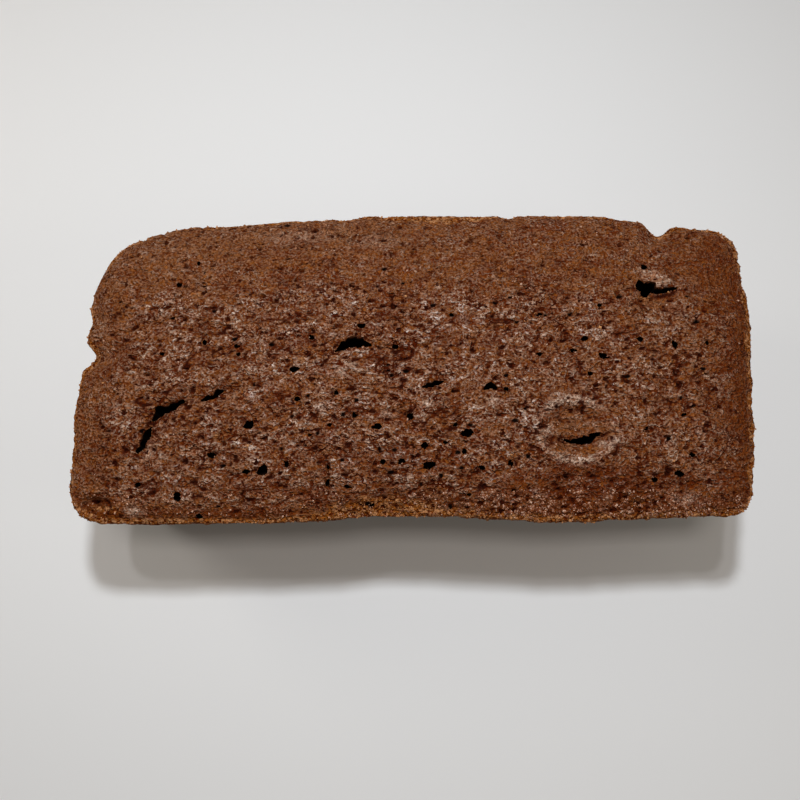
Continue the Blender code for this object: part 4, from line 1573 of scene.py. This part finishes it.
@dataclass(frozen=True)
class Grains:
    """Fine grains that stand up from the crust, thickest along the front on the right."""

    tries: int = 42000
    size: tuple[float, float] = (0.15 * MM, 0.48 * MM)
    drift_mm: tuple[float, float] = (-0.2, 0.2)
    lowest: float = 39.0 * MM
    seed: int = 23

    def share(self, x: float, y: float) -> float:
        """How thickly the grains lie at a plan point, 0 to 1."""
        front = rise(y, -39.7 * MM, 1.0 * MM) * rise(y, -32.0 * MM, -3.0 * MM)
        right = rise(x, 4.0 * MM, 14.0 * MM) * rise(x, 74.0 * MM, -6.0 * MM)
        middle = rise(y, 28.0 * MM, -14.0 * MM) * rise(abs(x), 74.0 * MM, -10.0 * MM)
        clumps = plan_noise(x, y, 31.0, 3.5 * MM, 2.6 * MM)
        return max(front * (0.25 + 0.65 * right), middle * (0.06 + 0.18 * max(0.0, clumps)), 0.015)

    def make(self, loaf: bpy.types.Object) -> bpy.types.Object:
        """Strew the grains over the crust.

        Args:
            loaf: The loaf that they belong to.

        Returns:
            One object with all the grains.
        """
        draws = random.Random(self.seed)
        deep = loaf.data.attributes[Trait.DEEP.value].data
        crease = loaf.data.attributes[Trait.CREASE.value].data
        top = [
            vert for vert in loaf.data.vertices
            if vert.normal.z > 0.6 and vert.co.z > self.lowest and deep[vert.index].value < 0.02
            and crease[vert.index].value < 0.6
        ]
        spots = []
        for number in range(self.tries):
            vert = top[draws.randrange(len(top))]
            chance, spread = draws.random(), draws.random()
            drift = Vector((draws.uniform(*self.drift_mm) * MM, draws.uniform(*self.drift_mm) * MM, 0.0))
            share = self.share(vert.co.x, vert.co.y)
            if chance < share:
                reach = spread ** (1.7 - share) * min(1.0, 0.35 + share)
                size = self.size[0] + (self.size[1] - self.size[0]) * reach
                spots.append((vert.co + drift + vert.normal * (0.15 - 0.35 * share) * size, size))
        return Scatter(self.seed).grow("crust_grains", spots)


@dataclass(frozen=True)
class Lamp:
    """An area light that faces the loaf: its name, place, width and depth, watts and colour."""

    name: str
    place: tuple[float, float, float]
    size: tuple[float, float]
    power: float
    colour: tuple[float, float, float]

    def make(self) -> None:
        """Hang the lamp."""
        data = bpy.data.lights.new(self.name, "AREA")
        data.shape = "RECTANGLE"
        data.size, data.size_y = self.size
        data.energy = self.power
        data.color = self.colour
        light = bpy.data.objects.new(self.name, data)
        light.location = self.place
        light.rotation_euler = Vector(self.place).to_track_quat("Z", "Y").to_euler()
        bpy.context.scene.collection.objects.link(light)


@dataclass(frozen=True)
class Studio:
    """Plain pale floor, soft light and the photograph's camera."""

    camera_place: tuple[float, float, float] = (-4.4 * MM, -62.2 * MM, 230.3 * MM)
    camera_tilt: float = math.radians(15.4)
    focal_pixels: float = 785.0
    image_width: float = 800.0
    sensor: float = 36.0
    floor_size: float = 3.0
    floor_colour: Colour = (0.80, 0.795, 0.795, 1.0)
    floor_roughness: float = 0.7
    room_colour: Colour = (1.0, 0.92, 0.79, 1.0)
    room_strength: float = 0.13
    lamps: tuple[Lamp, ...] = (
        Lamp("key", (-0.0104, 0.0722, 0.350), (0.028, 0.028), 0.71, (0.900, 0.950, 1.0)),
        Lamp("overhead", (-0.146, 0.307, 1.25), (0.06, 0.06), 1.60, (1.0, 0.985, 0.99)),
        Lamp("ceiling", (0.0, -0.03, 0.90), (0.20, 0.12), 1.0, (1.0, 0.93, 0.86)),
        Lamp("left_fill", (-0.30, 0.12, 0.20), (0.12, 0.12), 0.18, (1.0, 0.94, 0.85)),
        Lamp("right_fill", (0.35, -0.15, 0.30), (0.15, 0.15), 0.14, (1.0, 0.94, 0.85)),
    )

    def make_camera(self) -> None:
        """The camera, almost over the loaf and a little in front of it."""
        data = bpy.data.cameras.new("camera")
        data.sensor_width = self.sensor
        data.lens = self.focal_pixels / self.image_width * self.sensor
        data.clip_start = 1.0 * MM
        camera = bpy.data.objects.new("camera", data)
        camera.location = self.camera_place
        camera.rotation_euler = (self.camera_tilt, 0.0, 0.0)
        bpy.context.scene.collection.objects.link(camera)
        bpy.context.scene.camera = camera

    def make_floor(self) -> bpy.types.Object:
        """The pale floor."""
        bm = bmesh.new()
        bmesh.ops.create_grid(bm, x_segments=1, y_segments=1, size=0.5 * self.floor_size)
        floor = link_mesh("floor", bm, (0.0, 0.0))
        bench = Bench("pale_floor")
        floor.data.materials.append(bench.finish({
            "Base Color": self.floor_colour,
            "Roughness": self.floor_roughness,
        }))
        return floor

    def make_lights(self) -> None:
        """Hang the lamps and light the room evenly."""
        for lamp in self.lamps:
            lamp.make()
        world = bpy.data.worlds.new("room")
        world.use_nodes = True
        background = world.node_tree.nodes["Background"].inputs
        background["Color"].default_value = self.room_colour
        background["Strength"].default_value = self.room_strength
        bpy.context.scene.world = world
        bpy.context.scene.view_settings.view_transform = "Standard"


def main() -> None:
    """Build the camera, the loaf, its crumbs and the studio."""
    logging.basicConfig(level=logging.INFO, format="%(message)s")
    studio = Studio()
    studio.make_camera()
    studio.make_lights()
    studio.make_floor()
    loaf = Loaf(LoafForm(), FineCrust(), TornPlaces(), TonesAndPaintedLight(), Openings()).make()
    loaf.data.materials.append(CrustFinish().make())
    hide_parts(NODE)
    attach(loaf, BODY)
    LOG.info("loaf: %d triangles", sum(len(face.vertices) - 2 for face in loaf.data.polygons))
    crumbs = Crumbs().make(loaf)
    crumbs.data.materials.append(CrumbFinish().make())
    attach(crumbs, BODY)
    LOG.info("crumbs: %d triangles", len(crumbs.data.polygons))
    grains = Grains().make(loaf)
    grains.data.materials.append(GrainFinish().make())
    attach(grains, BODY)
    LOG.info("grains: %d triangles", len(grains.data.polygons))


if __name__ == "__main__":
    main()
